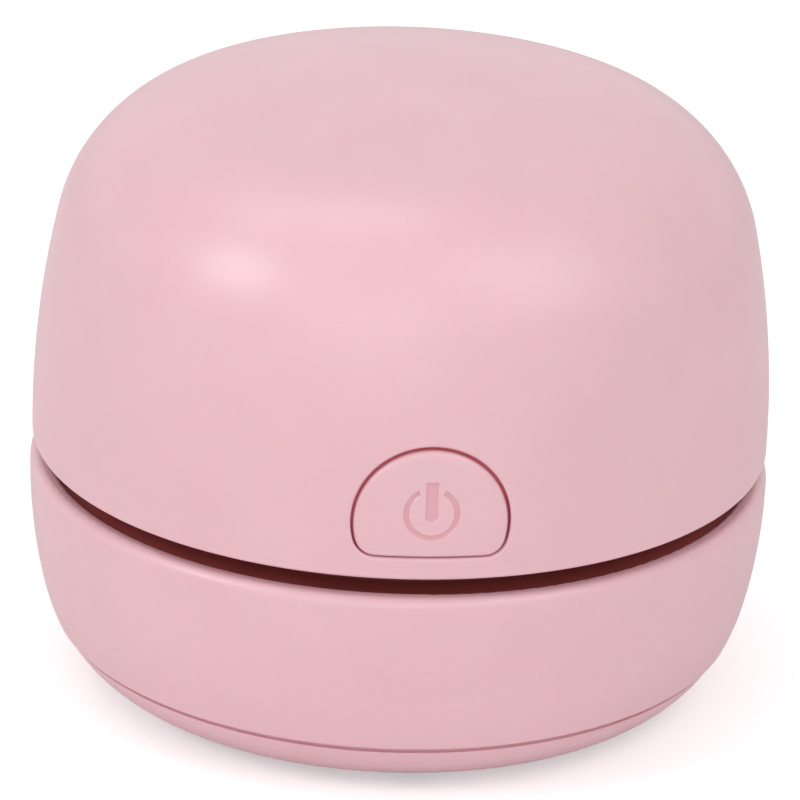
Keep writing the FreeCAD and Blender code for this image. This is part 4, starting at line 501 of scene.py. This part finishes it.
def dome_radius(z, inset=0.0):
    """The housing's radius at a height, or that of the surface at an inset under it."""
    side, shoulder, crown = SIDE_ARC - inset, SHOULDER_ARC - inset, CROWN_ARC - inset
    if z <= HOUSING_WIDEST + side * (CREST_Z - HOUSING_WIDEST) / (SIDE_ARC - SHOULDER_ARC):
        return SIDE_X + math.sqrt(side * side - (z - HOUSING_WIDEST) ** 2)
    if z <= CROWN_Z + crown * (CREST_Z - CROWN_Z) / (CROWN_ARC - SHOULDER_ARC):
        return CREST_X + math.sqrt(shoulder * shoulder - (z - CREST_Z) ** 2)
    return math.sqrt(max(crown * crown - (z - CROWN_Z) ** 2, 0))


def dome_point(x, z, side=-1, inset=0.0, back=0.0):
    """A point on the dome straight in front of, or behind, a place in the XZ plane, moved inwards by back."""
    radius = dome_radius(z, inset)
    return Vector((x, side * (math.sqrt(radius * radius - x * x) - back), z))


def dome_normal(point):
    """The dome's own normal near a point, from the arc that the point is on."""
    radius = math.hypot(point.x, point.y)
    if point.z <= HOUSING_WIDEST + SIDE_ARC * (CREST_Z - HOUSING_WIDEST) / (SIDE_ARC - SHOULDER_ARC):
        across, rise = radius - SIDE_X, point.z - HOUSING_WIDEST
    elif point.z <= CROWN_Z + CROWN_ARC * (CREST_Z - CROWN_Z) / (CROWN_ARC - SHOULDER_ARC):
        across, rise = radius - CREST_X, point.z - CREST_Z
    else:
        across, rise = radius, point.z - CROWN_Z
    if radius < SAME_SPOT:
        return UP.copy()
    return Vector((point.x / radius * across, point.y / radius * across, rise)).normalized()


def dome_shine(tolerance):
    """Gives each face corner on the dome's outside the dome's true normal, and leaves the others alone."""

    def normals(data):
        found = []
        for polygon in data.polygons:
            for index in polygon.vertices:
                point = data.vertices[index].co / MM
                true = dome_normal(point)
                beside = abs(math.hypot(point.x, point.y) - dome_radius(point.z)) < tolerance
                near = beside or point.z > CROWN_START
                found.append(true if near and polygon.normal.dot(true) > 0.9 else Vector((0, 0, 0)))
        return found

    return normals


def button_reach(side, rise, grow):
    """How far the button's outline, grown all round, lies from its middle in a direction."""
    radius, drop, corner = BUTTON_RADIUS + grow, BUTTON_DROP + grow, BUTTON_CORNER + grow
    corner_drop = drop - corner
    corner_side = math.sqrt((radius - corner) ** 2 - corner_drop ** 2)
    if rise * corner_side > -abs(side) * corner_drop:
        return radius
    if abs(side) * drop < -rise * corner_side:
        return -drop / rise
    along = abs(side) * corner_side - rise * corner_drop
    return along + math.sqrt(along * along - corner_side ** 2 - corner_drop ** 2 + corner * corner)


def port_reach(side, rise, grow):
    """The same for the charging port's slot shape."""
    radius = PORT_HALF_HEIGHT + grow
    run = PORT_HALF_WIDTH - PORT_HALF_HEIGHT
    if abs(side) * radius < abs(rise) * run:
        return radius / abs(rise)
    along = abs(side) * run
    return along + math.sqrt(along * along - run * run + radius * radius)


def lamp_reach(side, rise, grow):
    return LAMP_HOLE + grow


def arc_rows(mesh, vert, centre, angle, steps):
    """Spins a vertex of a profile about a centre in the XZ plane; returns the last vertex."""
    made = bmesh.ops.spin(
        mesh,
        geom=[vert],
        cent=(centre[0], 0, centre[1]),
        axis=(0, 1, 0),
        angle=angle,
        steps=steps,
        use_duplicate=False,
    )
    return next(part for part in made["geom_last"] if isinstance(part, bmesh.types.BMVert))


def step_to(mesh, vert, x, z):
    """Draws a straight piece of a profile from a vertex."""
    twin = bmesh.ops.extrude_vert_indiv(mesh, verts=[vert])["verts"][0]
    twin.co = (x, 0, z)
    return twin


def turn_round(mesh, steps):
    """Turns a profile in the XZ plane once about the Z axis."""
    bmesh.ops.spin(
        mesh,
        geom=mesh.verts[:] + mesh.edges[:],
        cent=(0, 0, 0),
        axis=(0, 0, 1),
        angle=math.tau,
        steps=steps,
        use_merge=True,
    )
    bmesh.ops.remove_doubles(mesh, verts=mesh.verts, dist=SAME_SPOT)


def open_outline(mesh, middle_x, side, half_width, low, high):
    """Takes the faces of both walls away round a hole to come; returns the outer ring and the inner edges."""
    half_angle = math.asin(half_width / BODY_RADIUS)
    middle_angle = math.asin(middle_x / BODY_RADIUS)
    gone = set()
    for face in mesh.faces:
        spot = face.calc_center_median()
        if spot.y * side <= 0 or not low < spot.z < high:
            continue
        if abs(math.atan2(spot.x, spot.y * side) - middle_angle) < half_angle:
            gone.add(face)
    border = [edge for edge in mesh.edges if len(gone.intersection(edge.link_faces)) == 1]
    bmesh.ops.delete(mesh, geom=list(gone), context="FACES")
    outer = [edge for edge in border if on_outside(edge.verts[0])]
    inner = [edge for edge in border if not on_outside(edge.verts[0])]
    return in_order(outer), inner


def on_outside(vert):
    return math.hypot(vert.co.x, vert.co.y) > dome_radius(vert.co.z, HOUSING_WALL / 2)


def hole_rings(mesh, ring, middle_x, middle_z, side, reach, gap):
    """Leads a ring of the dome's outside in to a hole's rounded edge."""
    ways = []
    for vert in ring:
        way = Vector((vert.co.x - middle_x, vert.co.z - middle_z))
        ways.append((way.length, way.normalized()))
    for share in (0.3, 0.6, 0.85, 1.0):
        spots = []
        for length, way in ways:
            edge = reach(way.x, way.y, gap + HOLE_ROUND)
            out = length + (edge - length) * share
            spots.append(dome_point(middle_x + way.x * out, middle_z + way.y * out, side))
        ring = next_ring(mesh, ring, spots)
    for step in range(1, ROUND_STEPS + 1):
        turn = math.pi / 2 * step / ROUND_STEPS
        grow = gap + HOLE_ROUND * (1 - math.sin(turn))
        back = HOLE_ROUND * (1 - math.cos(turn))
        spots = []
        for _, way in ways:
            out = reach(way.x, way.y, grow)
            spots.append(dome_point(middle_x + way.x * out, middle_z + way.y * out, side, 0.0, back))
        ring = next_ring(mesh, ring, spots)
    return ring, [way for _, way in ways]


def flat_spots(ways, middle_x, middle_z, reach, grow, y):
    """The outline of a hole in a plane across Y."""
    spots = []
    for way in ways:
        out = reach(way.x, way.y, grow)
        spots.append(Vector((middle_x + way.x * out, y, middle_z + way.y * out)))
    return spots


def inner_spots(ways, middle_x, middle_z, side, reach, grow):
    """The outline of a hole on the dome's inner wall."""
    spots = []
    for way in ways:
        out = reach(way.x, way.y, grow)
        spots.append(dome_point(middle_x + way.x * out, middle_z + way.y * out, side, HOUSING_WALL))
    return spots


def make_housing():
    """The dome turned from its profile, with rounded openings for button, port and lamp, and four bosses."""
    mesh = bmesh.new()
    crown_turn = math.asin(CREST_X / (CROWN_ARC - SHOULDER_ARC))
    side_turn = math.asin((CREST_Z - HOUSING_WIDEST) / (SIDE_ARC - SHOULDER_ARC))
    shoulder_turn = math.pi / 2 - crown_turn - side_turn
    edge_z = HOUSING_FOOT + EDGE_ROUND
    edge_turn = math.asin((HOUSING_WIDEST - edge_z) / SIDE_ARC)
    edge_x = SIDE_X + SIDE_ARC * math.cos(edge_turn)
    top = mesh.verts.new((0, 0, HOUSING_TOP))
    spot = arc_rows(mesh, top, (0, CROWN_Z), crown_turn, 16)
    spot = arc_rows(mesh, spot, (CREST_X, CREST_Z), shoulder_turn, 26)
    spot = arc_rows(mesh, spot, (SIDE_X, HOUSING_WIDEST), side_turn + edge_turn, 34)
    spot = arc_rows(mesh, spot, (edge_x - EDGE_ROUND, edge_z), math.pi / 2 - edge_turn, 5)
    inner_side = SIDE_ARC - HOUSING_WALL
    foot_turn = math.asin((HOUSING_WIDEST - HOUSING_FOOT) / inner_side)
    spot = step_to(mesh, spot, SIDE_X + inner_side * math.cos(foot_turn), HOUSING_FOOT)
    spot = arc_rows(mesh, spot, (SIDE_X, HOUSING_WIDEST), -side_turn - foot_turn, 24)
    spot = arc_rows(mesh, spot, (CREST_X, CREST_Z), -shoulder_turn, 16)
    spot = arc_rows(mesh, spot, (0, CROWN_Z), -crown_turn, 10)
    spot.co.x = 0
    turn_round(mesh, HOUSING_STEPS)
    ring, inner = open_outline(mesh, 0, -1, *BUTTON_OPENING)
    ring, ways = hole_rings(mesh, ring, 0, BUTTON_Z, -1, button_reach, BUTTON_GAP)
    collar = BUTTON_GAP + COLLAR_WALL
    ring = next_ring(mesh, ring, flat_spots(ways, 0, BUTTON_Z, button_reach, BUTTON_GAP, COLLAR_END))
    ring = next_ring(mesh, ring, flat_spots(ways, 0, BUTTON_Z, button_reach, collar, COLLAR_END))
    ring = next_ring(mesh, ring, inner_spots(ways, 0, BUTTON_Z, -1, button_reach, collar))
    bmesh.ops.bridge_loops(mesh, edges=ring_edges(mesh, ring) + inner)
    for middle_x, reach, (half_width, half_height) in (
        (0, port_reach, PORT_OPENING),
        (LAMP_X, lamp_reach, LAMP_OPENING),
    ):
        ring, inner = open_outline(
            mesh, middle_x, 1, half_width, PORT_Z - half_height, PORT_Z + half_height
        )
        ring, ways = hole_rings(mesh, ring, middle_x, PORT_Z, 1, reach, 0)
        ring = next_ring(mesh, ring, inner_spots(ways, middle_x, PORT_Z, 1, reach, 0))
        bmesh.ops.bridge_loops(mesh, edges=ring_edges(mesh, ring) + inner)
    bmesh.ops.recalc_face_normals(mesh, faces=mesh.faces)
    for angle in (90 - BOSS_ANGLE, 90 + BOSS_ANGLE, 270 - BOSS_ANGLE, 270 + BOSS_ANGLE):
        turn = math.radians(angle)
        add_boss(mesh, BOSS_CIRCLE * math.cos(turn), BOSS_CIRCLE * math.sin(turn))
    return finish_piece("housing_shell", mesh, "head", "upper_housing", "housing_abs", 35, dome_shine(0.02))


def add_boss(mesh, x, y):
    """A screw boss that stands on the deck and ends inside the dome's wall."""
    part = bmesh.new()
    spot = part.verts.new((0, 0, DECK_TOP + BOSS_HOLE_DEPTH))
    spot = step_to(part, spot, BOSS_HOLE, DECK_TOP + BOSS_HOLE_DEPTH)
    spot = step_to(part, spot, BOSS_HOLE, DECK_TOP)
    spot = step_to(part, spot, BOSS_RADIUS, DECK_TOP)
    spot = step_to(part, spot, BOSS_RADIUS, HOUSING_TOP)
    step_to(part, spot, 0, HOUSING_TOP)
    turn_round(part, BOSS_STEPS)
    bmesh.ops.recalc_face_normals(part, faces=part.faces)
    bmesh.ops.translate(part, vec=(x, y, 0), verts=part.verts)
    middle = HOUSING_WALL / 2
    for vert in part.verts:
        if vert.co.z > HOUSING_TOP - SAME_SPOT:
            beyond = math.hypot(vert.co.x, vert.co.y) - CREST_X
            vert.co.z = CREST_Z + math.sqrt((SHOULDER_ARC - middle) ** 2 - beyond ** 2)
    take_in(mesh, part)


def take_in(mesh, part):
    """Adds one mesh to another."""
    data = bpy.data.meshes.new("part")
    part.to_mesh(data)
    part.free()
    mesh.from_mesh(data)
    bpy.data.meshes.remove(data)


def sign_depth(x, z):
    """How deep the power sign lies at a place on the button, from 0 to 1, with soft edges."""
    rise = z - SIGN_Z
    away = math.hypot(x, rise)
    ring = abs(away - SIGN_RADIUS) - SIGN_STROKE / 2
    turn = math.radians(SIGN_OPENING)
    wedge = rise * math.sin(turn) - abs(x) * math.cos(turn)
    ring = max(ring, wedge)
    half = SIGN_BAR_WIDTH / 2
    foot = half - SIGN_BAR_DROP
    if rise < foot:
        bar = math.hypot(x, rise - foot) - half
    else:
        bar = max(abs(x) - half, rise - SIGN_BAR_TOP)
    share = min(max(0.5 - min(ring, bar) / SIGN_SOFTNESS, 0), 1)
    return share * share * (3 - 2 * share)


def add_rod(mesh, radius, front, back, z):
    """A round rod along Y, in the middle of the machine's width."""
    place = Matrix.Translation((0, (front + back) / 2, z)) @ Matrix.Rotation(math.pi / 2, 4, "X")
    bmesh.ops.create_cone(
        mesh, cap_ends=True, segments=40, radius1=radius, radius2=radius, depth=back - front, matrix=place
    )


def make_button():
    """The cap in rings round its sign, then its rounded edge, skirt, flange, hollow, stem and spring seat."""
    mesh = bmesh.new()
    # How far the deeper rose is mixed in: a printed tint on the sign, painted shade in the groove round the
    # cap
    sign_print_and_groove_shade = mesh.verts.layers.float.new("sign_print_and_groove_shade")
    step = SIGN_REACH / SIGN_RINGS
    bmesh.ops.create_circle(
        mesh,
        cap_ends=True,
        cap_tris=True,
        segments=CAP_DIRECTIONS,
        radius=step,
        matrix=Matrix.Translation((0, 0, SIGN_Z)) @ Matrix.Rotation(math.pi / 2, 4, "X"),
    )
    ring = in_order([edge for edge in mesh.edges if edge.is_boundary])
    ways = [Vector((vert.co.x, vert.co.z - SIGN_Z)).normalized() for vert in ring]
    for number in range(2, SIGN_RINGS + 1):
        out = step * number
        ring = next_ring(mesh, ring, [Vector((way.x * out, 0, SIGN_Z + way.y * out)) for way in ways])
    starts = [vert.co.copy() for vert in ring]
    ends = flat_spots(ways, 0, CAP_Z, button_reach, -CAP_ROUND, 0)
    for share in (0.2, 0.4, 0.6, 0.8, 1.0):
        ring = next_ring(mesh, ring, [start.lerp(end, share) for start, end in zip(starts, ends)])
    for vert in mesh.verts:
        depth = sign_depth(vert.co.x, vert.co.z)
        vert[sign_print_and_groove_shade] = SIGN_DEEPENING * depth
        vert.co = dome_point(vert.co.x, vert.co.z, -1, 0.0, SIGN_DEPTH * depth)
    for step in range(1, ROUND_STEPS + 1):
        turn = math.pi / 2 * step / ROUND_STEPS
        grow = CAP_ROUND * (math.sin(turn) - 1)
        back = CAP_ROUND * (1 - math.cos(turn))
        edge = flat_spots(ways, 0, CAP_Z, button_reach, grow, 0)
        ring = next_ring(mesh, ring, [dome_point(spot.x, spot.z, -1, 0.0, back) for spot in edge])
    for middle_z, grow in ((CAP_Z, 0), (BUTTON_Z, SKIRT_GROWTH)):
        edge = flat_spots(ways, 0, middle_z, button_reach, grow, 0)
        ring = next_ring(mesh, ring, [dome_point(spot.x, spot.z, -1, 0.0, GROOVE_DEPTH) for spot in edge])
        # The groove's walls get the full deeper rose: painted shade
        for vert in ring:
            vert[sign_print_and_groove_shade] = 1.0
    ring = next_ring(mesh, ring, flat_spots(ways, 0, BUTTON_Z, button_reach, SKIRT_GROWTH, FLANGE_FRONT))
    for vert in ring:
        vert[sign_print_and_groove_shade] = 0.0
    for y in (FLANGE_FRONT, FLANGE_BACK):
        rim = flat_spots(ways, 0, CAP_Z, button_reach, BUTTON_FLANGE, y)
        ring = next_ring(mesh, ring, [Vector((spot.x, spot.y, max(spot.z, FLANGE_TRIM))) for spot in rim])
    ring = next_ring(mesh, ring, flat_spots(ways, 0, CAP_Z, button_reach, -BUTTON_WALL, FLANGE_BACK))
    hollow = flat_spots(ways, 0, CAP_Z, button_reach, -BUTTON_WALL, 0)
    for share in (1.0, 0.6, 0.25, 0.0):
        spots = [Vector((0, 0, CAP_Z)).lerp(spot, share) for spot in hollow]
        ring = next_ring(mesh, ring, [dome_point(spot.x, spot.z, -1, BUTTON_FACE) for spot in spots])
    bmesh.ops.remove_doubles(mesh, verts=mesh.verts, dist=SAME_SPOT)
    add_rod(mesh, STEM_RADIUS, 1 - BODY_RADIUS, STEM_END, STEM_Z)
    add_rod(mesh, SEAT_RADIUS, 1 - BODY_RADIUS, SEAT_END, STEM_Z)
    bmesh.ops.recalc_face_normals(mesh, faces=mesh.faces)
    return finish_piece("button_cap", mesh, "button", "power_button", "housing_abs", 35, finish="button_abs")


def make_spring():
    """A round wire swept along its coil."""
    mesh = bmesh.new()
    place = Matrix.Translation((SPRING_RADIUS, SPRING_FRONT, STEM_Z))
    bmesh.ops.create_circle(mesh, segments=12, radius=SPRING_WIRE, matrix=place)
    steps = int(SPRING_TURNS * 32)
    bmesh.ops.spin(
        mesh,
        geom=mesh.verts[:] + mesh.edges[:],
        cent=(0, 0, STEM_Z),
        axis=(0, 1, 0),
        dvec=(0, (SPRING_BACK - SPRING_FRONT) / steps, 0),
        angle=SPRING_TURNS * math.tau,
        steps=steps,
        use_duplicate=False,
    )
    bmesh.ops.holes_fill(mesh, edges=mesh.edges, sides=0)
    bmesh.ops.recalc_face_normals(mesh, faces=mesh.faces)
    spring = finish_piece("return_spring", mesh, "head", "button_spring", "spring_steel")
    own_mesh(spring)


def add_bristle(mesh, x, y, lean, tip):
    """One bristle from its bar down to its tip, bent outwards by its lean."""
    place = Matrix.Translation((x, y, TUFT_ROOT))
    made = bmesh.ops.create_circle(mesh, cap_ends=True, segments=6, radius=BRISTLE_RADIUS, matrix=place)
    ring = in_order(ring_edges(mesh, made["verts"]))
    roots = [vert.co - Vector((x, y, TUFT_ROOT)) for vert in ring]
    for share, thin in ((0.35, 1.0), (0.7, 0.9), (1.0, 0.65)):
        middle = Vector((x, y, 0)) + lean * share ** 1.6
        middle.z = TUFT_ROOT + (tip - TUFT_ROOT) * share
        ring = next_ring(mesh, ring, [middle + root * thin for root in roots])
    mesh.faces.new(ring)


def make_bristles():
    """Two rows of tufts; in each tuft the bristles are packed in a spiral and splay towards their tips."""
    mesh = bmesh.new()
    golden = math.pi * (3 - math.sqrt(5))
    for row in TUFT_ROWS:
        for number in range(TUFTS_PER_ROW):
            tuft_x = TUFT_SPACING * (number - (TUFTS_PER_ROW - 1) / 2)
            for place in range(BRISTLES_PER_TUFT):
                out = (TUFT_RADIUS - BRISTLE_RADIUS) * math.sqrt((place + 0.3) / BRISTLES_PER_TUFT)
                turn = golden * (place + 7 * number)
                way = Vector((math.cos(turn), math.sin(turn), 0))
                uneven = (place * 0.618 + number * 0.37) % 1
                lean = way * BRISTLE_SPLAY * (out / TUFT_RADIUS + 0.4 * uneven)
                spot = way * out
                add_bristle(mesh, tuft_x + spot.x, row + spot.y, lean, TUFT_TIP + 0.3 * uneven)
    bmesh.ops.recalc_face_normals(mesh, faces=mesh.faces)
    return finish_piece("brush_bristles", mesh, "bin", "bristle_tufts", "nylon_bristle", 50)


def add_turn(mesh, out, grow, way):
    """One closed turn of wire round a pole, at a distance from the shaft and from the pole's sides."""
    side = Vector((-way.y, way.x, 0))
    corner = COIL_CORNER + grow
    half = POLE_HALF_WIDTH - COIL_CORNER
    low, high = CORE_FOOT + COIL_CORNER, CORE_TOP - COIL_CORNER
    path = []
    for number, (along, z) in enumerate(((half, high), (-half, high), (-half, low), (half, low))):
        for step in range(5):
            turn = math.pi / 2 * (number + step / 4)
            outward = side * math.cos(turn) + UP * math.sin(turn)
            path.append((way * out + side * along + UP * z + outward * corner, outward))
    path.append(path[0])
    rings = []
    for spot, outward in path:
        turns = [math.tau * step / WIRE_SIDES for step in range(WIRE_SIDES)]
        rings.append([spot + (outward * math.cos(a) + way * math.sin(a)) * COIL_WIRE for a in turns])
    ring = [mesh.verts.new(spot) for spot in rings[0]]
    for first, second in zip(ring, ring[1:] + ring[:1]):
        mesh.edges.new((first, second))
    for spots in rings[1:]:
        ring = next_ring(mesh, ring, spots)


def make_windings():
    """Layers of wire wound round each pole of the armature."""
    mesh = bmesh.new()
    layers = int(COIL_THICKNESS / (2 * COIL_WIRE))
    turns = int((COIL_OUTER - COIL_INNER) / (2 * COIL_WIRE))
    for pole in range(POLES):
        angle = math.radians(POLE_START + 360 / POLES * pole)
        way = Vector((math.cos(angle), math.sin(angle), 0))
        for layer in range(layers):
            for number in range(turns - layer % 2):
                out = COIL_INNER + COIL_WIRE * (1 + 2 * number + layer % 2)
                add_turn(mesh, out, COIL_WIRE * (1 + 2 * layer), way)
    bmesh.ops.remove_doubles(mesh, verts=mesh.verts, dist=SAME_SPOT)
    bmesh.ops.recalc_face_normals(mesh, faces=mesh.faces)
    return finish_piece("wound_coils", mesh, "rotor", "armature_windings", "copper_wire", 80)


def fold_height(x):
    """The cloth's height along its folds: a wave with straight sides and rounded crests."""
    phase = math.pi * CLOTH_FOLDS * (x + CLOTH_RADIUS) / (2 * CLOTH_RADIUS)
    wave = math.asin(CLOTH_SHARPNESS * math.cos(phase)) / math.asin(CLOTH_SHARPNESS)
    middle = (CLOTH_LOW + CLOTH_HIGH) / 2
    return middle + wave * (CLOTH_HIGH - CLOTH_LOW - CLOTH_THICKNESS) / 2


def make_filter_cloth():
    """One round sheet of cloth, folded to and fro between the frame's bars and its top."""
    mesh = bmesh.new()
    across = CLOTH_FOLDS * 12
    bmesh.ops.create_grid(mesh, x_segments=across, y_segments=30, size=1)
    for vert in mesh.verts:
        x = vert.co.x * CLOTH_RADIUS
        half = math.sqrt(max(CLOTH_RADIUS ** 2 - x * x, CLOTH_SHORTEST ** 2))
        wander = CLOTH_WANDER * math.sin(4 * vert.co.y + 9 * vert.co.x) * (1 - vert.co.x ** 2)
        vert.co = Vector((x + wander, vert.co.y * half, fold_height(x)))
    area = sum(face.calc_area() for face in mesh.faces) * MM * MM
    cloth = finish_piece("filter_cloth", mesh, "filter", "filter_pleats", "filter_cloth", 60)
    thick = cloth.modifiers.new("cloth_thickness", "SOLIDIFY")
    thick.thickness = CLOTH_THICKNESS * MM
    thick.offset = 0


make_housing()
make_button()
make_spring()
make_bristles()
make_windings()
make_filter_cloth()

# The background is white where it is seen, and lights the object at a plain level

SEEN_LEVEL = 1.0
SKY_LEVEL = 0.515
FLOOR_LIFT = 0.38
scene = bpy.context.scene
scene.view_settings.view_transform = "Standard"
world = bpy.data.worlds.new("soft_studio")
scene.world = world
world.use_nodes = True
world.node_tree.nodes.clear()
tree = world.node_tree
rays = add(tree, "ShaderNodeLightPath")
seen = add(
    tree,
    "ShaderNodeMath",
    {0: rays.outputs["Is Camera Ray"], 1: rays.outputs["Is Transmission Ray"]},
    operation="MAXIMUM",
)
shown = add(
    tree, "ShaderNodeMath", {0: seen.outputs["Value"], 1: rays.outputs["Is Glossy Ray"]}, operation="MAXIMUM"
)
strength = add(
    tree, "ShaderNodeMapRange", {"Value": shown.outputs["Value"], "To Min": SKY_LEVEL, "To Max": SEEN_LEVEL}
)
sky = add(tree, "ShaderNodeBackground", {"Color": (1, 1, 1, 1), "Strength": strength.outputs["Result"]})
add(tree, "ShaderNodeOutputWorld", {"Surface": sky.outputs["Background"]})


def make_floor():
    """A white table top, which keeps the object's shadow."""
    mesh = bmesh.new()
    bmesh.ops.create_grid(mesh, x_segments=1, y_segments=1, size=3.0)
    data = bpy.data.meshes.new("table_top")
    mesh.to_mesh(data)
    mesh.free()
    made, tree = new_material("white_table_top")
    place = add(tree, "ShaderNodeTexCoord").outputs["Object"]
    speck = add(tree, "ShaderNodeTexNoise", {"Vector": place, "Scale": 40.0})
    dull = add(tree, "ShaderNodeMapRange", {"Value": speck.outputs["Fac"], "To Min": 0.6, "To Max": 0.7})
    rays = add(tree, "ShaderNodeLightPath")
    lift = add(
        tree,
        "ShaderNodeMapRange",
        {"Value": rays.outputs["Is Camera Ray"], "To Min": 0.0, "To Max": FLOOR_LIFT},
    )
    shader = add(
        tree,
        "ShaderNodeBsdfPrincipled",
        {
            "Base Color": linear("f4f4f4"),
            "Roughness": dull.outputs["Result"],
            "Specular IOR Level": 0.2,
            "Emission Color": (1, 1, 1, 1),
            "Emission Strength": lift.outputs["Result"],
        },
    )
    # Seen from underneath the table top isn't there, so that it doesn't hide the foot of the object
    side = add(tree, "ShaderNodeNewGeometry")
    under = add(
        tree,
        "ShaderNodeMath",
        {0: side.outputs["Backfacing"], 1: rays.outputs["Transparent Depth"]},
        operation="ADD",
        use_clamp=True,
    )
    clear = add(tree, "ShaderNodeBsdfTransparent")
    both = add(
        tree,
        "ShaderNodeMixShader",
        {"Fac": under.outputs["Value"], 1: shader.outputs["BSDF"], 2: clear.outputs["BSDF"]},
    )
    add(tree, "ShaderNodeOutputMaterial", {"Surface": both.outputs["Shader"]})
    data.materials.append(made)
    floor = bpy.data.objects.new("table_top", data)
    floor.location.z = FLOOR_DROP * MM
    scene.collection.objects.link(floor)


def add_lamp(name, azimuth, elevation, distance, width, height, power):
    """A soft box that faces the middle of the object; the azimuth runs from the front to the right."""
    lamp = bpy.data.lights.new(name, "AREA")
    lamp.shape = "RECTANGLE"
    lamp.size = width
    lamp.size_y = height
    lamp.energy = power
    side, rise = math.radians(azimuth), math.radians(elevation)
    way = Vector((math.sin(side) * math.cos(rise), -math.cos(side) * math.cos(rise), math.sin(rise)))
    middle = Vector((0, 0, 0.04))
    holder = bpy.data.objects.new(name, lamp)
    holder.location = middle + way * distance
    holder.rotation_euler = (-way).to_track_quat("-Z", "Y").to_euler()
    scene.collection.objects.link(holder)


make_floor()
add_lamp("key_soft_box", -67, 32, 1.0, 0.36, 0.36, 2.2)
add_lamp("top_soft_box", -95, 74, 1.0, 0.36, 0.8, 1.6)
add_lamp("fill_soft_box", 44, 41, 1.0, 0.55, 0.72, 2.3)
add_lamp("front_soft_box", -8, 13, 1.3, 1.2, 0.8, 2.7)

# The camera stands where the photograph was taken from

CAMERA_DISTANCE = 0.588
AZIMUTH = math.radians(-5.2)
ELEVATION = math.radians(21.82)
ROLL = math.radians(2.2)
FOCAL_PIXELS = 5157.0
AIM = Vector((0, 0, 0.0367))
AIM_PIXEL = (402.1, 363.3)
HALF_IMAGE = 400.0

lens = bpy.data.cameras.new("photo_camera")
lens.sensor_width = 36.0
lens.lens = FOCAL_PIXELS * lens.sensor_width / (2 * HALF_IMAGE)
camera = bpy.data.objects.new("photo_camera", lens)
scene.collection.objects.link(camera)
away = Vector(
    (
        math.sin(AZIMUTH) * math.cos(ELEVATION),
        -math.cos(AZIMUTH) * math.cos(ELEVATION),
        math.sin(ELEVATION),
    )
)
aim_way = Vector(
    ((AIM_PIXEL[0] - HALF_IMAGE) / FOCAL_PIXELS, (HALF_IMAGE - AIM_PIXEL[1]) / FOCAL_PIXELS, -1.0)
)
ahead = Vector((0, 0, -1))
turn = (-away).to_track_quat("-Z", "Y").to_matrix() @ Matrix.Rotation(ROLL, 3, "Z")
turn = turn @ aim_way.rotation_difference(ahead).to_matrix()
camera.rotation_mode = "QUATERNION"
camera.location = AIM + away * CAMERA_DISTANCE
camera.rotation_quaternion = turn.to_quaternion()
scene.camera = camera
